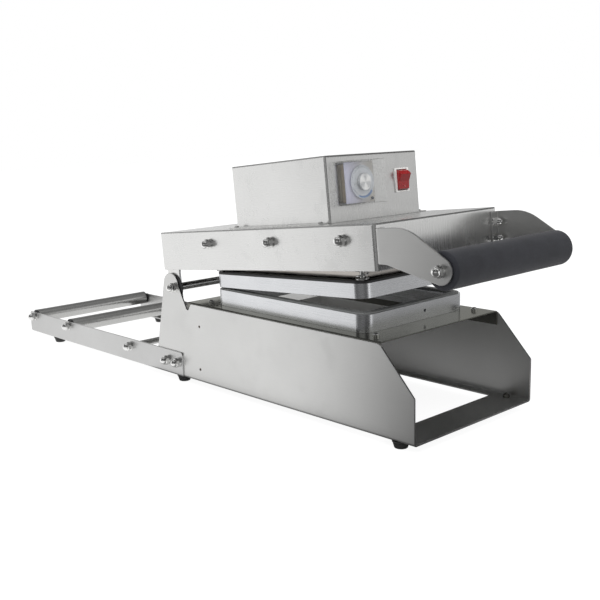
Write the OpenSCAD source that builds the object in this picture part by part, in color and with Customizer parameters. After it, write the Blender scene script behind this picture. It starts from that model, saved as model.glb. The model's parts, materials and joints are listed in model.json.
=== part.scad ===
// Manual tray sealer: bent steel base, tray die, hinged heated head and film rack.
// X is across the machine, Y runs from the handle to the film rack, Z is up.
// The origin is on the floor, under the middle of the machine.

/* [Base] */
// Width over the side plates
body_w = 250; // [236:1:270]
// Length of the base along its bottom edge
base_len = 536; // [530:1:550]
// Thickness of the base sheet
base_sheet = 2; // [1.5:0.1:2.5]
// Height of the upright front edge of the side plates
lip_h = 60.4; // [50:0.5:70]
// Distance from the front edge to the start of the deck
deck_front = 55; // [45:1:60]
// Height of the side plates
side_h = 119.2; // [112:0.1:122]
// Outer radius of the bends of the base
base_bend = 4; // [3:0.5:5]
// Width left of the floor on each side of its cut-out
floor_rim = 17; // [14:0.5:20]
// Depth of the floor strip in front of the cut-out
floor_front = 54; // [46:1:60]
// Length of the cut-out in the floor
floor_cut_len = 346; // [300:1:350]

/* [Hinge] */
// Distance of the pivot from the front edge
pivot_y = 476; // [474:0.5:478]
// Height of the pivot over the underside of the base
pivot_z = 140; // [139.5:0.1:141]
// Radius of the rounded top of the ears
ear_r = 18.6; // [17:0.1:18.8]
// Radius of the pivot shaft
shaft_r = 6; // [5:0.5:8]
// Radius of the thrust washers
thrust_r = 19; // [16:0.5:20]
// Opening angle of the head as it rests
head_tilt = 5.47; // [4:0.01:6]
// Radial clearance of running fits
run_fit = 0.05; // [0.02:0.01:0.1]

/* [Deck and lower die] */
// Thickness of the deck sheet
deck_sheet = 1.5; // [1:0.1:2]
// Length of the deck
deck_len = 391; // [385:1:392]
// Depth of the deck's side flanges
deck_flange = 20; // [12:1:21]
// Distance from the front of the deck to the die
die_gap = 42; // [36:1:44]
// Height of the aluminium of the lower die
die_h = 23.7; // [20:0.1:24]
// Outer corner radius of the dies
die_r = 16; // [12:0.5:18]
// Width of the rim between the die's edge and its gasket
gasket_inset = 2.5; // [2:0.1:4]
// Width of the gasket
gasket_w = 10; // [8:0.5:11]
// Height of the gasket above the die
gasket_rise = 1.8; // [1:0.1:2]
// Width of the ledge that carries the tray's flange
ledge_w = 9.6; // [6:0.2:12]
// Depth of the ledge below the die's top face
ledge_drop = 1.2; // [0.5:0.1:2]

/* [Head] */
// Length of the head
head_len = 447.6; // [444:0.2:450]
// Height of the head
head_h = 57.5; // [56:0.5:64]
// Thickness of the head's sheet
head_sheet = 1.5; // [1.2:0.1:1.6]
// Distance from the pivot back to the head's rear face
head_rear = 23; // [21:0.5:25]
// Height of the head's lower edge above the pivot
head_rise = 27.8; // [27.6:0.1:29]
// Radius of the head's upright corners
head_corner = 5; // [4:0.5:7]
// Radius of the bends along the head's top
head_bend = 3; // [2.5:0.5:4]
// Height of the web of the sub-frame above the head's lower edge
web_rise = 24.7; // [24:0.1:26]

/* [Clamp frame and heater] */
// Width of the clamp frame, which the lower die follows
frame_w = 208.6; // [200:0.2:210]
// Length of the clamp frame, which the lower die follows
frame_len = 301; // [290:1:304]
// Height of the clamp frame's aluminium
frame_h = 19.4; // [16:0.1:20]
// Wall of the clamp frame
frame_wall = 12.3; // [11.5:0.1:13]
// Thickness of the insulating ring on the clamp frame
ring_h = 3; // [2:0.5:4]
// Angle at which the clamp frame hangs below the head as it rests
float_tilt = 2.02; // [1.5:0.01:2.1]
// Distance of the clamp frame's turning line behind the pivot
float_back = 109; // [100:1:115]
// Gap between the clamp frame and the gasket when the head is closed
close_gap = 0.3; // [0.2:0.05:0.5]
// Radius of the spring posts
post_r = 3; // [2.5:0.25:3.5]
// Mean radius of the post springs
spring_r = 4.7; // [4.6:0.1:5]
// Radius of the spring wire
wire_r = 0.6; // [0.5:0.05:0.6]
// Number of turns of each post spring
spring_turns = 9; // [7:1:10]
// Thickness of the heater block above its sealing land
block_h = 15.5; // [12:0.5:16]
// Height of the sealing land
land_h = 4; // [3:0.5:5]
// Radius of the heating element's tube
element_r = 4.2; // [3:0.1:4.5]

/* [Control box] */
// Width of the control box
box_w = 183; // [170:1:196]
// Length of the control box
box_len = 192; // [180:1:200]
// Height of the control box
box_h = 88; // [86:1:96]
// Distance of the box's front from the head's front
box_setback = 106.6; // [90:0.2:110]
// Width of the box's side flanges
box_flange = 17.5; // [14:0.5:18]
// Width of the clear window cover
window_w = 71; // [68:0.5:76]
// Height of the clear window cover
window_h = 58; // [56:0.5:60]
// Distance the window cover stands out from the panel
window_d = 22; // [20:0.5:26]
// Radius of the dial
dial_r = 18.5; // [16:0.5:20]
// Radius of the dial's knob
knob_r = 11.2; // [8:0.2:14]
// Width of the rocker
rocker_w = 21; // [18:0.5:23]
// Height of the rocker from end to end
rocker_h = 28.8; // [24:0.2:30]
// Angle of the rocker to each side of its middle
rocker_tilt = 14; // [10:0.5:15]

/* [Handle] */
// Distance of the handle bar in front of the head
bar_reach = 93.4; // [85:0.2:100]
// Height of the handle bar above the head's lower edge
bar_rise = 0.6; // [-1:0.1:3]
// Radius of the handle bar
bar_r = 12.5; // [10:0.5:15]
// Radius of the foam grip
grip_r = 23; // [20:0.5:24]
// Thickness of the bracket sheet
bracket_sheet = 2; // [1.5:0.1:3]
// Radius of the bracket's nose
nose_r = 16.2; // [14:0.2:18]

/* [Film rack] */
// Length of the rails
rail_len = 493; // [485:1:520]
// Height of the rails
rail_h = 39; // [36:0.5:42]
// Thickness of the rail sheet
rail_sheet = 2; // [1.5:0.1:2.5]
// Distance the rails overlap the base
rail_overlap = 75; // [70:1:80]
// Width of the rail's bottom flange
rail_flange = 28; // [24:1:34]
// Distance between the two roller axles
axle_pitch = 128.5; // [110:0.5:150]
// Distance of the rear axle from the rails' rear end
axle_back = 16.5; // [14:0.5:22]
// Radius of the rollers
roller_r = 12.5; // [10:0.5:15]
// Height of the axles over the rails' underside
axle_z = 30.5; // [28:0.5:31]
// Radius of the axles
axle_r = 4; // [3.5:0.25:5]

/* [Feet and fasteners] */
// Height of the feet
foot_h = 10; // [8:0.5:14]
// Top radius of the feet
foot_r = 11.5; // [10:0.5:12]
// Radius of the bolts
bolt_r = 3; // [2.5:0.25:3]
// Width of a cap nut over its flats
nut_af = 10; // [9.5:0.5:11]
// Height of a cap nut
nut_h = 12; // [11:0.5:14]
// Radius of a washer
washer_r = 6; // [5.8:0.1:6.4]
// Thickness of a washer
washer_h = 1.6; // [1:0.1:2]

/* [Hidden] */

$fn = 48;
eps = 0.01;
steel = "#c9cbcc";
bright = "#dcdedf";
aluminium = "#d5d8dc";
black = "#1d1d1f";

// Widths and heights that several pieces share
half_w = body_w / 2;
inner_x = half_w - base_sheet;
deck_top = side_h + deck_sheet;
floor_cut_x = half_w - floor_rim;
deck_rear = deck_front + deck_len;
thread_fit = 0.05;
hole_fit = 0.2;

// Lower die: a touch narrower and a touch longer than the clamp frame
die_w = frame_w - 0.2;
die_len = frame_len + 1;
die_front = deck_front + die_gap;
die_top = deck_top + die_h;
gasket_in = gasket_inset + gasket_w;
cavity_in = gasket_in + ledge_w;
gasket_top = die_top + gasket_rise;
groove_d = 2;
die_hole_x = 15;
die_hole_r = 2.2;
die_hole_d = 12;

// Head, measured from the pivot with the head closed and level
head_front = head_rear - head_len;
head_top = head_rise + head_h;
head_x = half_w - head_sheet;
web_z = head_rise + web_rise;
frame_sheet = 2;
cheek_h = 23.5;
arm_sheet = 3;
arm_x = head_x - frame_sheet;
thrust_h = inner_x - arm_x;
side_bolt_y = [-99.2, -234.6, -368.8];
side_bolt_z = head_top - 19.6;
subframe_front = head_front + 19.6;

// Clamp frame and heater, measured in the same way
frame_base = gasket_top + close_gap - pivot_z;
frame_y0 = die_front + (die_len - frame_len) / 2 - pivot_y;
frame_top = frame_base + frame_h;
ring_top = frame_top + ring_h;
subframe_rear = frame_y0 + frame_len + 13.5;
land_in = frame_wall + 2;
block_in = land_in + 8;
cover_in = block_in - 2;
cover_sheet = 0.8;
land_z = die_top - ledge_drop + 1.3 - pivot_z;
block_z = land_z + land_h;
block_top = block_z + block_h;
insulation_h = 6;
cover_top = block_top + insulation_h + cover_sheet;
element_x = 45;
element_z = block_top - element_r - 0.4;
element_y0 = frame_y0 + 100;
element_y1 = frame_y0 + frame_len - 55;
element_out = 14;
riser_bend = 12;
standoff_pts = [for (x = [-64, 64]) for (y = [frame_y0 + 40, frame_y0 + frame_len - 40]) [x, y]];
heater_bolt_r = 3;
probe_y = frame_y0 + frame_len / 2;
probe_r = 2.5;
probe_out = 12;

// The post of a corner stands midway between the frame's outer and inner corner
post_in = die_r - (die_r + (die_r - frame_wall)) / 2 * cos(45);
post_x = frame_w / 2 - post_in;
post_ys = [frame_y0 + post_in, frame_y0 + frame_len - post_in];
function post_drop(y) = (float_back - y) * sin(float_tilt);
function post_lean(y) = (web_z + frame_sheet + post_drop(y)) * sin(float_tilt);
post_gap = 0.6;

// Control box, on top of the head
box_front = head_front + box_setback;
box_sheet = 1.5;
box_screw_x = box_w / 2 + box_flange / 2;
box_screw_y = [box_front + 10, box_front + box_len - 10];
panel_mid_z = head_top + 50.2;
window_x0 = -72.5;
window_wall = 1.8;
plate_w = 54;
plate_x = window_x0 + 6.5 + plate_w / 2;
plate_out = 8.5;
plate_t = 1.5;
housing_w = 50;
housing_d = 67;
dial_x = -35.5;
dial_t = 2;
knob_out = 16;
dial_lift = 0.5;
dial_shaft_r = 3;
dial_shaft_d = 12;
lamp_r = 2;
lamp_x = -17;
lamp_z = panel_mid_z - 22.6;
switch_x = 55.5;
switch_z = head_top + 48.2;
switch_wall = 0.8;
rocker_gap = 0.3;
bezel_t = 2;
bezel_rim = 1.2;

// Handle, measured from the pivot with the head level
bar_y = head_front - bar_reach;
bar_z = head_rise + bar_rise;
bracket_top = 79.5;
bracket_bottom = 36.5;
bracket_flat = 48;
tab_w = 15;
tab_bolt_x = half_w - 9.8;
tab_bolt_z = [bracket_bottom + 7, bracket_bottom + 29];
tab_face = head_front - bracket_sheet;

// Film rack
rail_y0 = base_len - rail_overlap;
rail_y1 = rail_y0 + rail_len;
rail_x = half_w + rail_sheet;
rear_axle_y = rail_y1 - axle_back;
front_axle_y = rear_axle_y - axle_pitch;
tie_rod_y = base_len + 71;
tie_rod_z = 26;
tie_rod_r = 5.5;
joint_bolts = [[rail_y0 + 11, 22], [rail_y0 + 39, 21.5]];
rack_points = concat(joint_bolts, [[tie_rod_y, tie_rod_z], [front_axle_y, axle_z], [rear_axle_y, axle_z]]);
bush_flange = 1.5;
roller_half = half_w - 2;
tube_wall = 1.3;

// Feet
foot_tip_r = 8.5;
foot_screw_r = 2.5;
foot_x = half_w - 12;
base_foot_pts = [for (x = [-foot_x, foot_x]) for (y = [31, pivot_y]) [x, y]];
rail_foot_pts = [for (x = [-foot_x - 0.5, foot_x + 0.5]) [x, front_axle_y + 59]];

// Length of a bolt's thread beyond the washer
thread_out = nut_h - 3.5;

// The machine's middle, from the front of the grip to the rails' rear end
grip_front = pivot_y + bar_y * cos(head_tilt) + bar_z * sin(head_tilt) - grip_r;
mid_y = (grip_front + rail_y1) / 2;

// Points of an arc from one angle to another
function arc(cx, cy, r, a0, a1, n = 8) =
    [for (i = [0 : n]) let (a = a0 + (a1 - a0) * i / n) [cx + r * cos(a), cy + r * sin(a)]];

// A polygon's points with every corner rounded; each corner is given as [x, y, radius]
function unit(v) = v / norm(v);
function corner_arc(a, b, c, n) =
    let (
        u = unit([a[0] - b[0], a[1] - b[1]]),
        v = unit([c[0] - b[0], c[1] - b[1]]),
        half = acos(max(-1, min(1, u * v))) / 2,
        m = unit(u + v),
        centre = [b[0], b[1]] + m * b[2] / sin(half),
        start = [b[0], b[1]] + u * b[2] / tan(half) - centre,
        end = [b[0], b[1]] + v * b[2] / tan(half) - centre,
        a0 = atan2(start[1], start[0]),
        turn = atan2(end[1], end[0]) - a0,
        sweep = turn > 180 ? turn - 360 : turn < -180 ? turn + 360 : turn
    )
    [for (i = [0 : n]) centre + b[2] * [cos(a0 + sweep * i / n), sin(a0 + sweep * i / n)]];
function round_poly(p, n = 6) =
    [for (i = [0 : len(p) - 1])
        let (a = p[(i + len(p) - 1) % len(p)], b = p[i], c = p[(i + 1) % len(p)])
        each (b[2] > 0 ? corner_arc(a, b, c, n) : [[b[0], b[1]]])];

// A rectangle with round corners, centred
module rounded(w, l, r) {
    square([w - 2 * r, l], center = true);
    square([w, l - 2 * r], center = true);
    for (x = [-1, 1]) for (y = [-1, 1])
        translate([x * (w / 2 - r), y * (l / 2 - r)]) circle(r = r);
}

// The same from a front edge back, drawn in by an inset
module plan(w, y0, l, r, inset = 0) {
    translate([0, y0 + l / 2]) rounded(w - 2 * inset, l - 2 * inset, max(r - inset, 3));
}

// A block with round upright corners and round top edges, standing on z = 0
module soft_box(w, l, h, corner, bend) {
    intersection() {
        translate([0, l / 2]) linear_extrude(h) rounded(w, l, corner);
        translate([0, l + 1, 0]) rotate([90, 0, 0]) linear_extrude(l + 2) rounded(w, 2 * h, bend);
        translate([0, l / 2, 0]) rotate([90, 0, 90]) linear_extrude(w + 2, center = true) rounded(l, 2 * h, bend);
    }
}

// A sheet cover of that form, open below
module sheet_box(w, l, h, t, corner, bend) {
    difference() {
        soft_box(w, l, h, corner, bend);
        translate([0, t, -eps]) soft_box(w - 2 * t, l - 2 * t, h - t + eps, corner - t, bend - t);
    }
}

module both_sides() {
    children();
    mirror([1, 0, 0]) children();
}

// A prism across the machine from a side outline of [y, z] points
module side_prism(points, x0, x1) {
    translate([x0, 0, 0]) rotate([90, 0, 90]) linear_extrude(x1 - x0) polygon(points);
}

// A round bar along X, Y or Z
module rod_x(r, x0, x1) {
    translate([x0, 0, 0]) rotate([0, 90, 0]) cylinder(r = r, h = x1 - x0);
}
module rod_y(r, y0, y1) {
    translate([0, y1, 0]) rotate([90, 0, 0]) cylinder(r = r, h = y1 - y0);
}
module rod_z(r, z0, z1) {
    translate([0, 0, z0]) cylinder(r = r, h = z1 - z0);
}

// Places: the base, the head at its resting tilt, and the clamp frame that hangs from the head
module on_base() {
    translate([0, -mid_y, foot_h]) children();
}
module on_head() {
    on_base() translate([0, pivot_y, pivot_z]) rotate([-head_tilt, 0, 0]) children();
}
module on_frame() {
    on_head() translate([0, float_back, 0]) rotate([float_tilt, 0, 0]) translate([0, -float_back, 0]) children();
}

// Fasteners, seated on z = 0 and pointing up
module cap_nut() {
    hex_h = nut_h * 0.46;
    dome_r = nut_af * 0.47;
    difference() {
        union() {
            cylinder(d = nut_af / cos(30), h = hex_h, $fn = 6);
            cylinder(r = dome_r, h = nut_h - dome_r);
            translate([0, 0, nut_h - dome_r]) sphere(r = dome_r);
        }
        translate([0, 0, -eps]) cylinder(r = bolt_r + thread_fit, h = thread_out + 0.5);
    }
}
module washer(r, bore_r, h) {
    difference() {
        cylinder(r = r, h = h);
        translate([0, 0, -eps]) cylinder(r = bore_r, h = h + 2 * eps);
    }
}
module small_washer() {
    washer(washer_r, bolt_r + hole_fit, washer_h);
}

// A button head with a hexagon socket
module button_head(r, h) {
    difference() {
        intersection() {
            cylinder(r = r, h = h);
            translate([0, 0, h - r * 1.3]) sphere(r = r * 1.3);
        }
        translate([0, 0, h * 0.45]) cylinder(r = r * 0.5, h = h, $fn = 6);
    }
}

// Turns a fastener that points up to face outwards on the right-hand or left-hand side
module facing(x, y, z, side) {
    translate([side * x, y, z]) rotate([0, side * 90, 0]) children();
}

// Side plate outline with the deck's notch and the rounded ear
ear_tilt = 13;
ear_c = [pivot_y + 7.9, pivot_z + 3.2];
side_outline = round_poly(concat(
    [[0, 0, 0], [0, lip_h, 3], [deck_front, side_h, 10], [deck_rear - 10, side_h, 7],
     [deck_rear - 2.5, side_h - 14.7, 4], [ear_c[0] - 26.5, ear_c[1] - 13.8, 40]],
    [for (p = arc(ear_c[0], ear_c[1], ear_r, 176, ear_tilt, 16)) [p[0], p[1], 0]],
    [[base_len, 0, 0]]));

module base_shell() {
    color(steel) on_base() difference() {
        intersection() {
            translate([0, base_len, 0]) rotate([90, 0, 0]) linear_extrude(base_len) difference() {
                translate([0, side_h]) rounded(body_w, 2 * side_h, base_bend);
                translate([0, side_h + base_sheet])
                    rounded(body_w - 2 * base_sheet, 2 * side_h, base_bend - base_sheet);
            }
            side_prism(side_outline, -half_w, half_w);
        }
        translate([0, floor_front + floor_cut_len / 2, -1]) linear_extrude(base_sheet + 2)
            rounded(2 * floor_cut_x, floor_cut_len, 6);
        translate([0, pivot_y, pivot_z]) rod_x(bolt_r + run_fit, -half_w - 1, half_w + 1);
        for (p = joint_bolts) translate([0, p[0], p[1]])
            rod_x(bolt_r + hole_fit, -half_w - 1, half_w + 1);
        for (p = bulkhead_pts) translate([0, p[0], p[1]])
            rod_x(bulkhead_screw_r + thread_fit, -half_w - 1, half_w + 1);
        for (p = base_foot_pts) translate([p[0], p[1], 0])
            rod_z(foot_screw_r + hole_fit, -1, base_sheet + 1);
    }
}

// The deck: a sheet with flanges turned down inside the side plates
deck_bend = 2.5;
deck_hole_in = cavity_in - 3;
module deck_plate() {
    color(bright) on_base() difference() {
        translate([0, deck_rear, 0]) rotate([90, 0, 0]) linear_extrude(deck_len) difference() {
            translate([0, deck_top - deck_flange / 2 - deck_bend])
                rounded(2 * inner_x, deck_flange + 2 * deck_bend, deck_bend);
            translate([0, deck_top - deck_sheet - deck_flange])
                square([2 * (inner_x - deck_sheet), 2 * deck_flange], center = true);
            translate([0, deck_top - deck_flange - 10]) square([2 * inner_x + 2, 20], center = true);
        }
        translate([0, 0, side_h - 1]) linear_extrude(deck_sheet + 2)
            plan(die_w, die_front, die_len, die_r, deck_hole_in);
        for (p = stud_pts) translate([p[0], p[1], side_h]) rod_z(stud_r + thread_fit, -1, deck_sheet + 1);
    }
}

// A cross wall under the deck, screwed to the side plates
bulkhead_y = deck_rear - 39;
bulkhead_d = 20;
bulkhead_top = side_h - deck_flange - 1;
bulkhead_screw_r = 2;
bulkhead_pts = [[bulkhead_y + 9, bulkhead_top - 11.2], [bulkhead_y + 11, 20]];
module rear_bulkhead() {
    color(steel) on_base() difference() {
        translate([-inner_x, bulkhead_y, base_sheet + 2.5])
            cube([2 * inner_x, bulkhead_d, bulkhead_top - base_sheet - 2.5]);
        translate([-inner_x + base_sheet, bulkhead_y + base_sheet, 0])
            cube([2 * (inner_x - base_sheet), bulkhead_d, side_h]);
        for (p = bulkhead_pts) translate([0, p[0], p[1]])
            rod_x(bulkhead_screw_r + thread_fit, -half_w, half_w);
    }
}
module bulkhead_screws() {
    color(black) on_base() both_sides() for (p = bulkhead_pts)
        translate([0, p[0], p[1]]) difference() {
            rod_x(bulkhead_screw_r, inner_x - 6, half_w - 0.4);
            rotate([0, 90, 0]) translate([0, 0, half_w - 2.4]) cylinder(r = 1.1, h = 3, $fn = 6);
        }
}

// Button-headed studs beside the die's corners
stud_r = 2.5;
stud_head_r = 4.5;
stud_x = half_w - 22;
stud_ahead = 17;
stud_behind = 13;
stud_pts = [for (x = [-stud_x, stud_x])
    for (y = [die_front - stud_ahead, die_front + die_len + stud_behind]) [x, y]];
module deck_studs() {
    color(bright) on_base() for (p = stud_pts) translate([p[0], p[1], deck_top]) {
        button_head(stud_head_r, 5);
        rod_z(stud_r, -deck_sheet - 5, eps);
    }
}

module lower_die() {
    color(aluminium) on_base() difference() {
        translate([0, 0, deck_top]) linear_extrude(die_h) difference() {
            plan(die_w, die_front, die_len, die_r);
            plan(die_w, die_front, die_len, die_r, cavity_in);
        }
        translate([0, 0, die_top - groove_d]) linear_extrude(die_h) difference() {
            plan(die_w, die_front, die_len, die_r, gasket_inset);
            plan(die_w, die_front, die_len, die_r, gasket_in);
        }
        translate([0, 0, die_top - ledge_drop]) linear_extrude(die_h)
            plan(die_w, die_front, die_len, die_r, gasket_in - eps);
        translate([die_hole_x, die_front, deck_top + die_h / 2]) rod_y(die_hole_r, -1, die_hole_d);
    }
}
module lower_gasket() {
    color("#b9bbb8") on_base() translate([0, 0, die_top - groove_d])
        linear_extrude(groove_d + gasket_rise) difference() {
            plan(die_w, die_front, die_len, die_r, gasket_inset + thread_fit);
            plan(die_w, die_front, die_len, die_r, gasket_in - thread_fit);
        }
}

// Rubber feet with a recess for the screw's head
module foot() {
    difference() {
        translate([0, 0, -foot_h]) cylinder(r1 = foot_tip_r, r2 = foot_r, h = foot_h);
        rod_z(foot_screw_r + hole_fit, -foot_h - 1, 1);
        rod_z(5.2, -foot_h - 1, -foot_h + 5);
    }
}
module base_feet() {
    color(black) on_base() for (p = base_foot_pts) translate([p[0], p[1], 0]) foot();
}
module rail_feet() {
    color(black) on_base() for (p = rail_foot_pts) translate([p[0], p[1], 0]) foot();
}
module foot_screw(sheet) {
    rod_z(4.7, -foot_h + 2, -foot_h + 5);
    rod_z(foot_screw_r, -foot_h + 4, sheet + 6);
    difference() {
        translate([0, 0, sheet]) cylinder(d = 8 / cos(30), h = 4, $fn = 6);
        rod_z(foot_screw_r + thread_fit, sheet - 1, sheet + 5);
    }
}
module foot_screws() {
    color(bright) on_base() {
        for (p = base_foot_pts) translate([p[0], p[1], 0]) foot_screw(base_sheet);
        for (p = rail_foot_pts) translate([p[0], p[1], 0]) foot_screw(rail_sheet);
    }
}

// Rails: an upright web outside the base, with a bottom flange behind the base
rail_bend = 4;
rail_outline = round_poly([[rail_y0, 0, 3], [rail_y0, rail_h, 4], [rail_y1, rail_h, 4], [rail_y1, 0, 4]]);
module rail() {
    difference() {
        intersection() {
            side_prism(rail_outline, 0, rail_x);
            translate([0, rail_y1, 0]) rotate([90, 0, 0]) linear_extrude(rail_len) difference() {
                translate([0, rail_h]) rounded(2 * rail_x, 2 * rail_h, rail_bend);
                translate([0, rail_h + rail_sheet])
                    rounded(2 * half_w, 2 * rail_h, rail_bend - rail_sheet);
            }
        }
        translate([-rail_flange, rail_y0 - 1, -1]) cube([rail_x, rail_len + 2, rail_h]);
        translate([-1, rail_y0 - 1, -1])
            cube([half_w + 1, rail_overlap + 3, rail_h + 2]);
        for (p = rack_points) translate([0, p[0], p[1]]) rod_x(bolt_r + hole_fit, 50, rail_x + 1);
        for (p = rail_foot_pts) translate([p[0], p[1], 0])
            rod_z(foot_screw_r + hole_fit, -1, rail_sheet + 1);
    }
}
module right_rail() {
    color(steel) on_base() rail();
}
module left_rail() {
    color(steel) on_base() mirror([1, 0, 0]) rail();
}

// A bar between the rails, with threads that pass through them
thread_end = rail_x + washer_h + thread_out;
module rack_bar(r, y, z) {
    on_base() translate([0, y, z]) {
        rod_x(r, -half_w, half_w);
        both_sides() rod_x(bolt_r, half_w - eps, thread_end);
    }
}
module front_axle() {
    color(bright) rack_bar(axle_r, front_axle_y, axle_z);
}
module rear_axle() {
    color(bright) rack_bar(axle_r, rear_axle_y, axle_z);
}
module tie_rod() {
    color(bright) rack_bar(tie_rod_r, tie_rod_y, tie_rod_z);
}
module rail_bolts() {
    color(bright) on_base() both_sides() for (p = joint_bolts) translate([0, p[0], p[1]]) {
        rod_x(5, inner_x - 4, inner_x);
        rod_x(bolt_r, inner_x - 1, thread_end);
    }
}
module rack_washers() {
    color(bright) on_base() for (p = rack_points) for (s = [-1, 1])
        facing(rail_x, p[0], p[1], s) small_washer();
}
module rack_cap_nuts() {
    color(bright) on_base() for (p = rack_points) for (s = [-1, 1])
        facing(rail_x + washer_h, p[0], p[1], s) cap_nut();
}

// Rollers that turn on the axles by a flanged bush in each end
module roller(y) {
    on_base() translate([0, y, axle_z]) difference() {
        rod_x(roller_r, -roller_half + bush_flange, roller_half - bush_flange);
        rod_x(roller_r - tube_wall, -half_w, half_w);
    }
}
module roller_bushes(y) {
    on_base() translate([0, y, axle_z]) both_sides() difference() {
        union() {
            rod_x(roller_r, roller_half - bush_flange, roller_half);
            rod_x(roller_r - tube_wall - thread_fit, roller_half - 16, roller_half - eps);
        }
        rod_x(axle_r + run_fit, roller_half - 17, roller_half + 1);
    }
}
module front_roller() {
    color(bright) roller(front_axle_y);
}
module rear_roller() {
    color(bright) roller(rear_axle_y);
}
module front_roller_bushes() {
    color(black) roller_bushes(front_axle_y);
}
module rear_roller_bushes() {
    color(black) roller_bushes(rear_axle_y);
}

// Pivot: one shaft through both arms, held in the ears by its threads
pivot_end = half_w + washer_h + thread_out;
module pivot_shaft() {
    color(bright) on_head() {
        rod_x(shaft_r, -inner_x, inner_x);
        both_sides() rod_x(bolt_r, inner_x - eps, pivot_end);
    }
}
module thrust_washers() {
    color(black) on_head() for (s = [-1, 1])
        facing(arm_x, 0, 0, s) washer(thrust_r, shaft_r + 0.1, thrust_h);
}
module pivot_washers() {
    color(bright) on_head() for (s = [-1, 1]) facing(half_w, 0, 0, s) small_washer();
}
module pivot_cap_nuts() {
    color(bright) on_head() for (s = [-1, 1]) facing(half_w + washer_h, 0, 0, s) cap_nut();
}

// Head cover, folded from sheet and open below
module head_shell() {
    color(steel) on_head() difference() {
        translate([0, head_front, head_rise])
            sheet_box(body_w, head_len, head_h, head_sheet, head_corner, head_bend);
        for (y = side_bolt_y) translate([0, y, side_bolt_z])
            rod_x(bolt_r + hole_fit, -half_w - 1, half_w + 1);
        for (x = [-tab_bolt_x, tab_bolt_x]) for (z = tab_bolt_z)
            translate([x, head_front, z]) rod_y(bolt_r + hole_fit, -1, head_sheet + 1);
        for (x = [-box_screw_x, box_screw_x]) for (y = box_screw_y)
            translate([x, y, head_top]) rod_z(box_screw_r + hole_fit, -head_sheet - 1, 1);
        translate([0, box_front + box_len / 2, head_top]) rod_z(12, -head_sheet - 1, 1);
    }
}

// Channel inside the head that carries the heater and the spring posts
module head_subframe() {
    y_len = subframe_rear - subframe_front;
    color(steel) on_head() difference() {
        translate([0, subframe_rear, web_z]) rotate([90, 0, 0]) linear_extrude(y_len) difference() {
            translate([0, cheek_h]) rounded(2 * head_x, 2 * cheek_h, 3);
            translate([0, cheek_h + frame_sheet])
                rounded(2 * head_x - 2 * frame_sheet, 2 * cheek_h, 1);
            translate([0, 1.5 * cheek_h]) square([2 * head_x + 2, cheek_h], center = true);
        }
        for (y = side_bolt_y) translate([0, y, side_bolt_z])
            rod_x(bolt_r + hole_fit, -half_w - 1, half_w + 1);
        for (x = [-post_x, post_x]) for (y = post_ys) translate([x, y, web_z]) {
            rod_z(post_r + post_gap, -1, frame_sheet + 1);
            translate([0, -post_lean(y), 0]) rod_z(post_r + post_gap, -1, frame_sheet + 1);
            translate([-post_r - post_gap, -post_lean(y), -1])
                cube([2 * (post_r + post_gap), post_lean(y), frame_sheet + 2]);
        }
        for (p = standoff_pts) translate([p[0], p[1], web_z])
            rod_z(heater_bolt_r + hole_fit, -1, frame_sheet + 1);
        for (x = [-element_x, element_x]) translate([x, element_y1 + riser_bend, web_z])
            rod_z(element_r + 1.5, -1, frame_sheet + 1);
        translate([0, probe_y, web_z]) rod_z(probe_r + hole_fit, -1, frame_sheet + 1);
    }
}

// Hinge arms: plates inside the head that drop to the pivot behind it
arm_front = -13;
arm_back = 16;
arm_drop = 32;
arm_fore = -115;
arm_lift = 1.1;
arm_outline = round_poly([
    [arm_fore, web_z + frame_sheet + arm_lift, 2],
    [arm_fore, web_z + cheek_h, 4],
    [arm_back, web_z + cheek_h, 4],
    [arm_back, -arm_drop, 10],
    [arm_front, -arm_drop, 10],
    [arm_front, head_rise, 6],
    [subframe_rear + 4, web_z + frame_sheet + arm_lift, 6]]);
module hinge_arm() {
    difference() {
        side_prism(arm_outline, arm_x - arm_sheet, arm_x);
        rod_x(shaft_r + run_fit, 0, half_w);
        translate([0, side_bolt_y[0], side_bolt_z]) rod_x(bolt_r + hole_fit, 0, half_w);
    }
}
module right_hinge_arm() {
    color(steel) on_head() hinge_arm();
}
module left_hinge_arm() {
    color(steel) on_head() mirror([1, 0, 0]) hinge_arm();
}

// Bolts from inside the head; the rearmost pair also holds the hinge arms
screw_head_r = 4.8;
screw_head_h = 4;
module head_screws() {
    head_thread = half_w + washer_h + thread_out;
    color(bright) on_head() {
        both_sides() for (y = side_bolt_y) {
            seat = y == side_bolt_y[0] ? arm_x - arm_sheet : arm_x;
            translate([0, y, side_bolt_z]) {
                rod_x(screw_head_r, seat - screw_head_h, seat);
                rod_x(bolt_r, seat - 1, head_thread);
            }
        }
        for (x = [-tab_bolt_x, tab_bolt_x]) for (z = tab_bolt_z) translate([x, 0, z]) {
            rod_y(screw_head_r, head_front + head_sheet, head_front + head_sheet + screw_head_h);
            rod_y(bolt_r, tab_face - washer_h - thread_out, head_front + head_sheet + 1);
        }
    }
}

// Places of the washers and cap nuts on the head: sides, bracket tabs and handle ends
module at_head_nuts(lift) {
    for (s = [-1, 1]) {
        for (y = side_bolt_y) facing(half_w + lift, y, side_bolt_z, s) children();
        for (z = tab_bolt_z) translate([s * tab_bolt_x, tab_face - lift, z]) rotate([90, 0, 0]) children();
        facing(half_w + lift, bar_y, bar_z, s) children();
    }
}
module head_washers() {
    color(bright) on_head() at_head_nuts(0) small_washer();
}
module head_cap_nuts() {
    color(bright) on_head() at_head_nuts(washer_h) cap_nut();
}

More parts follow.
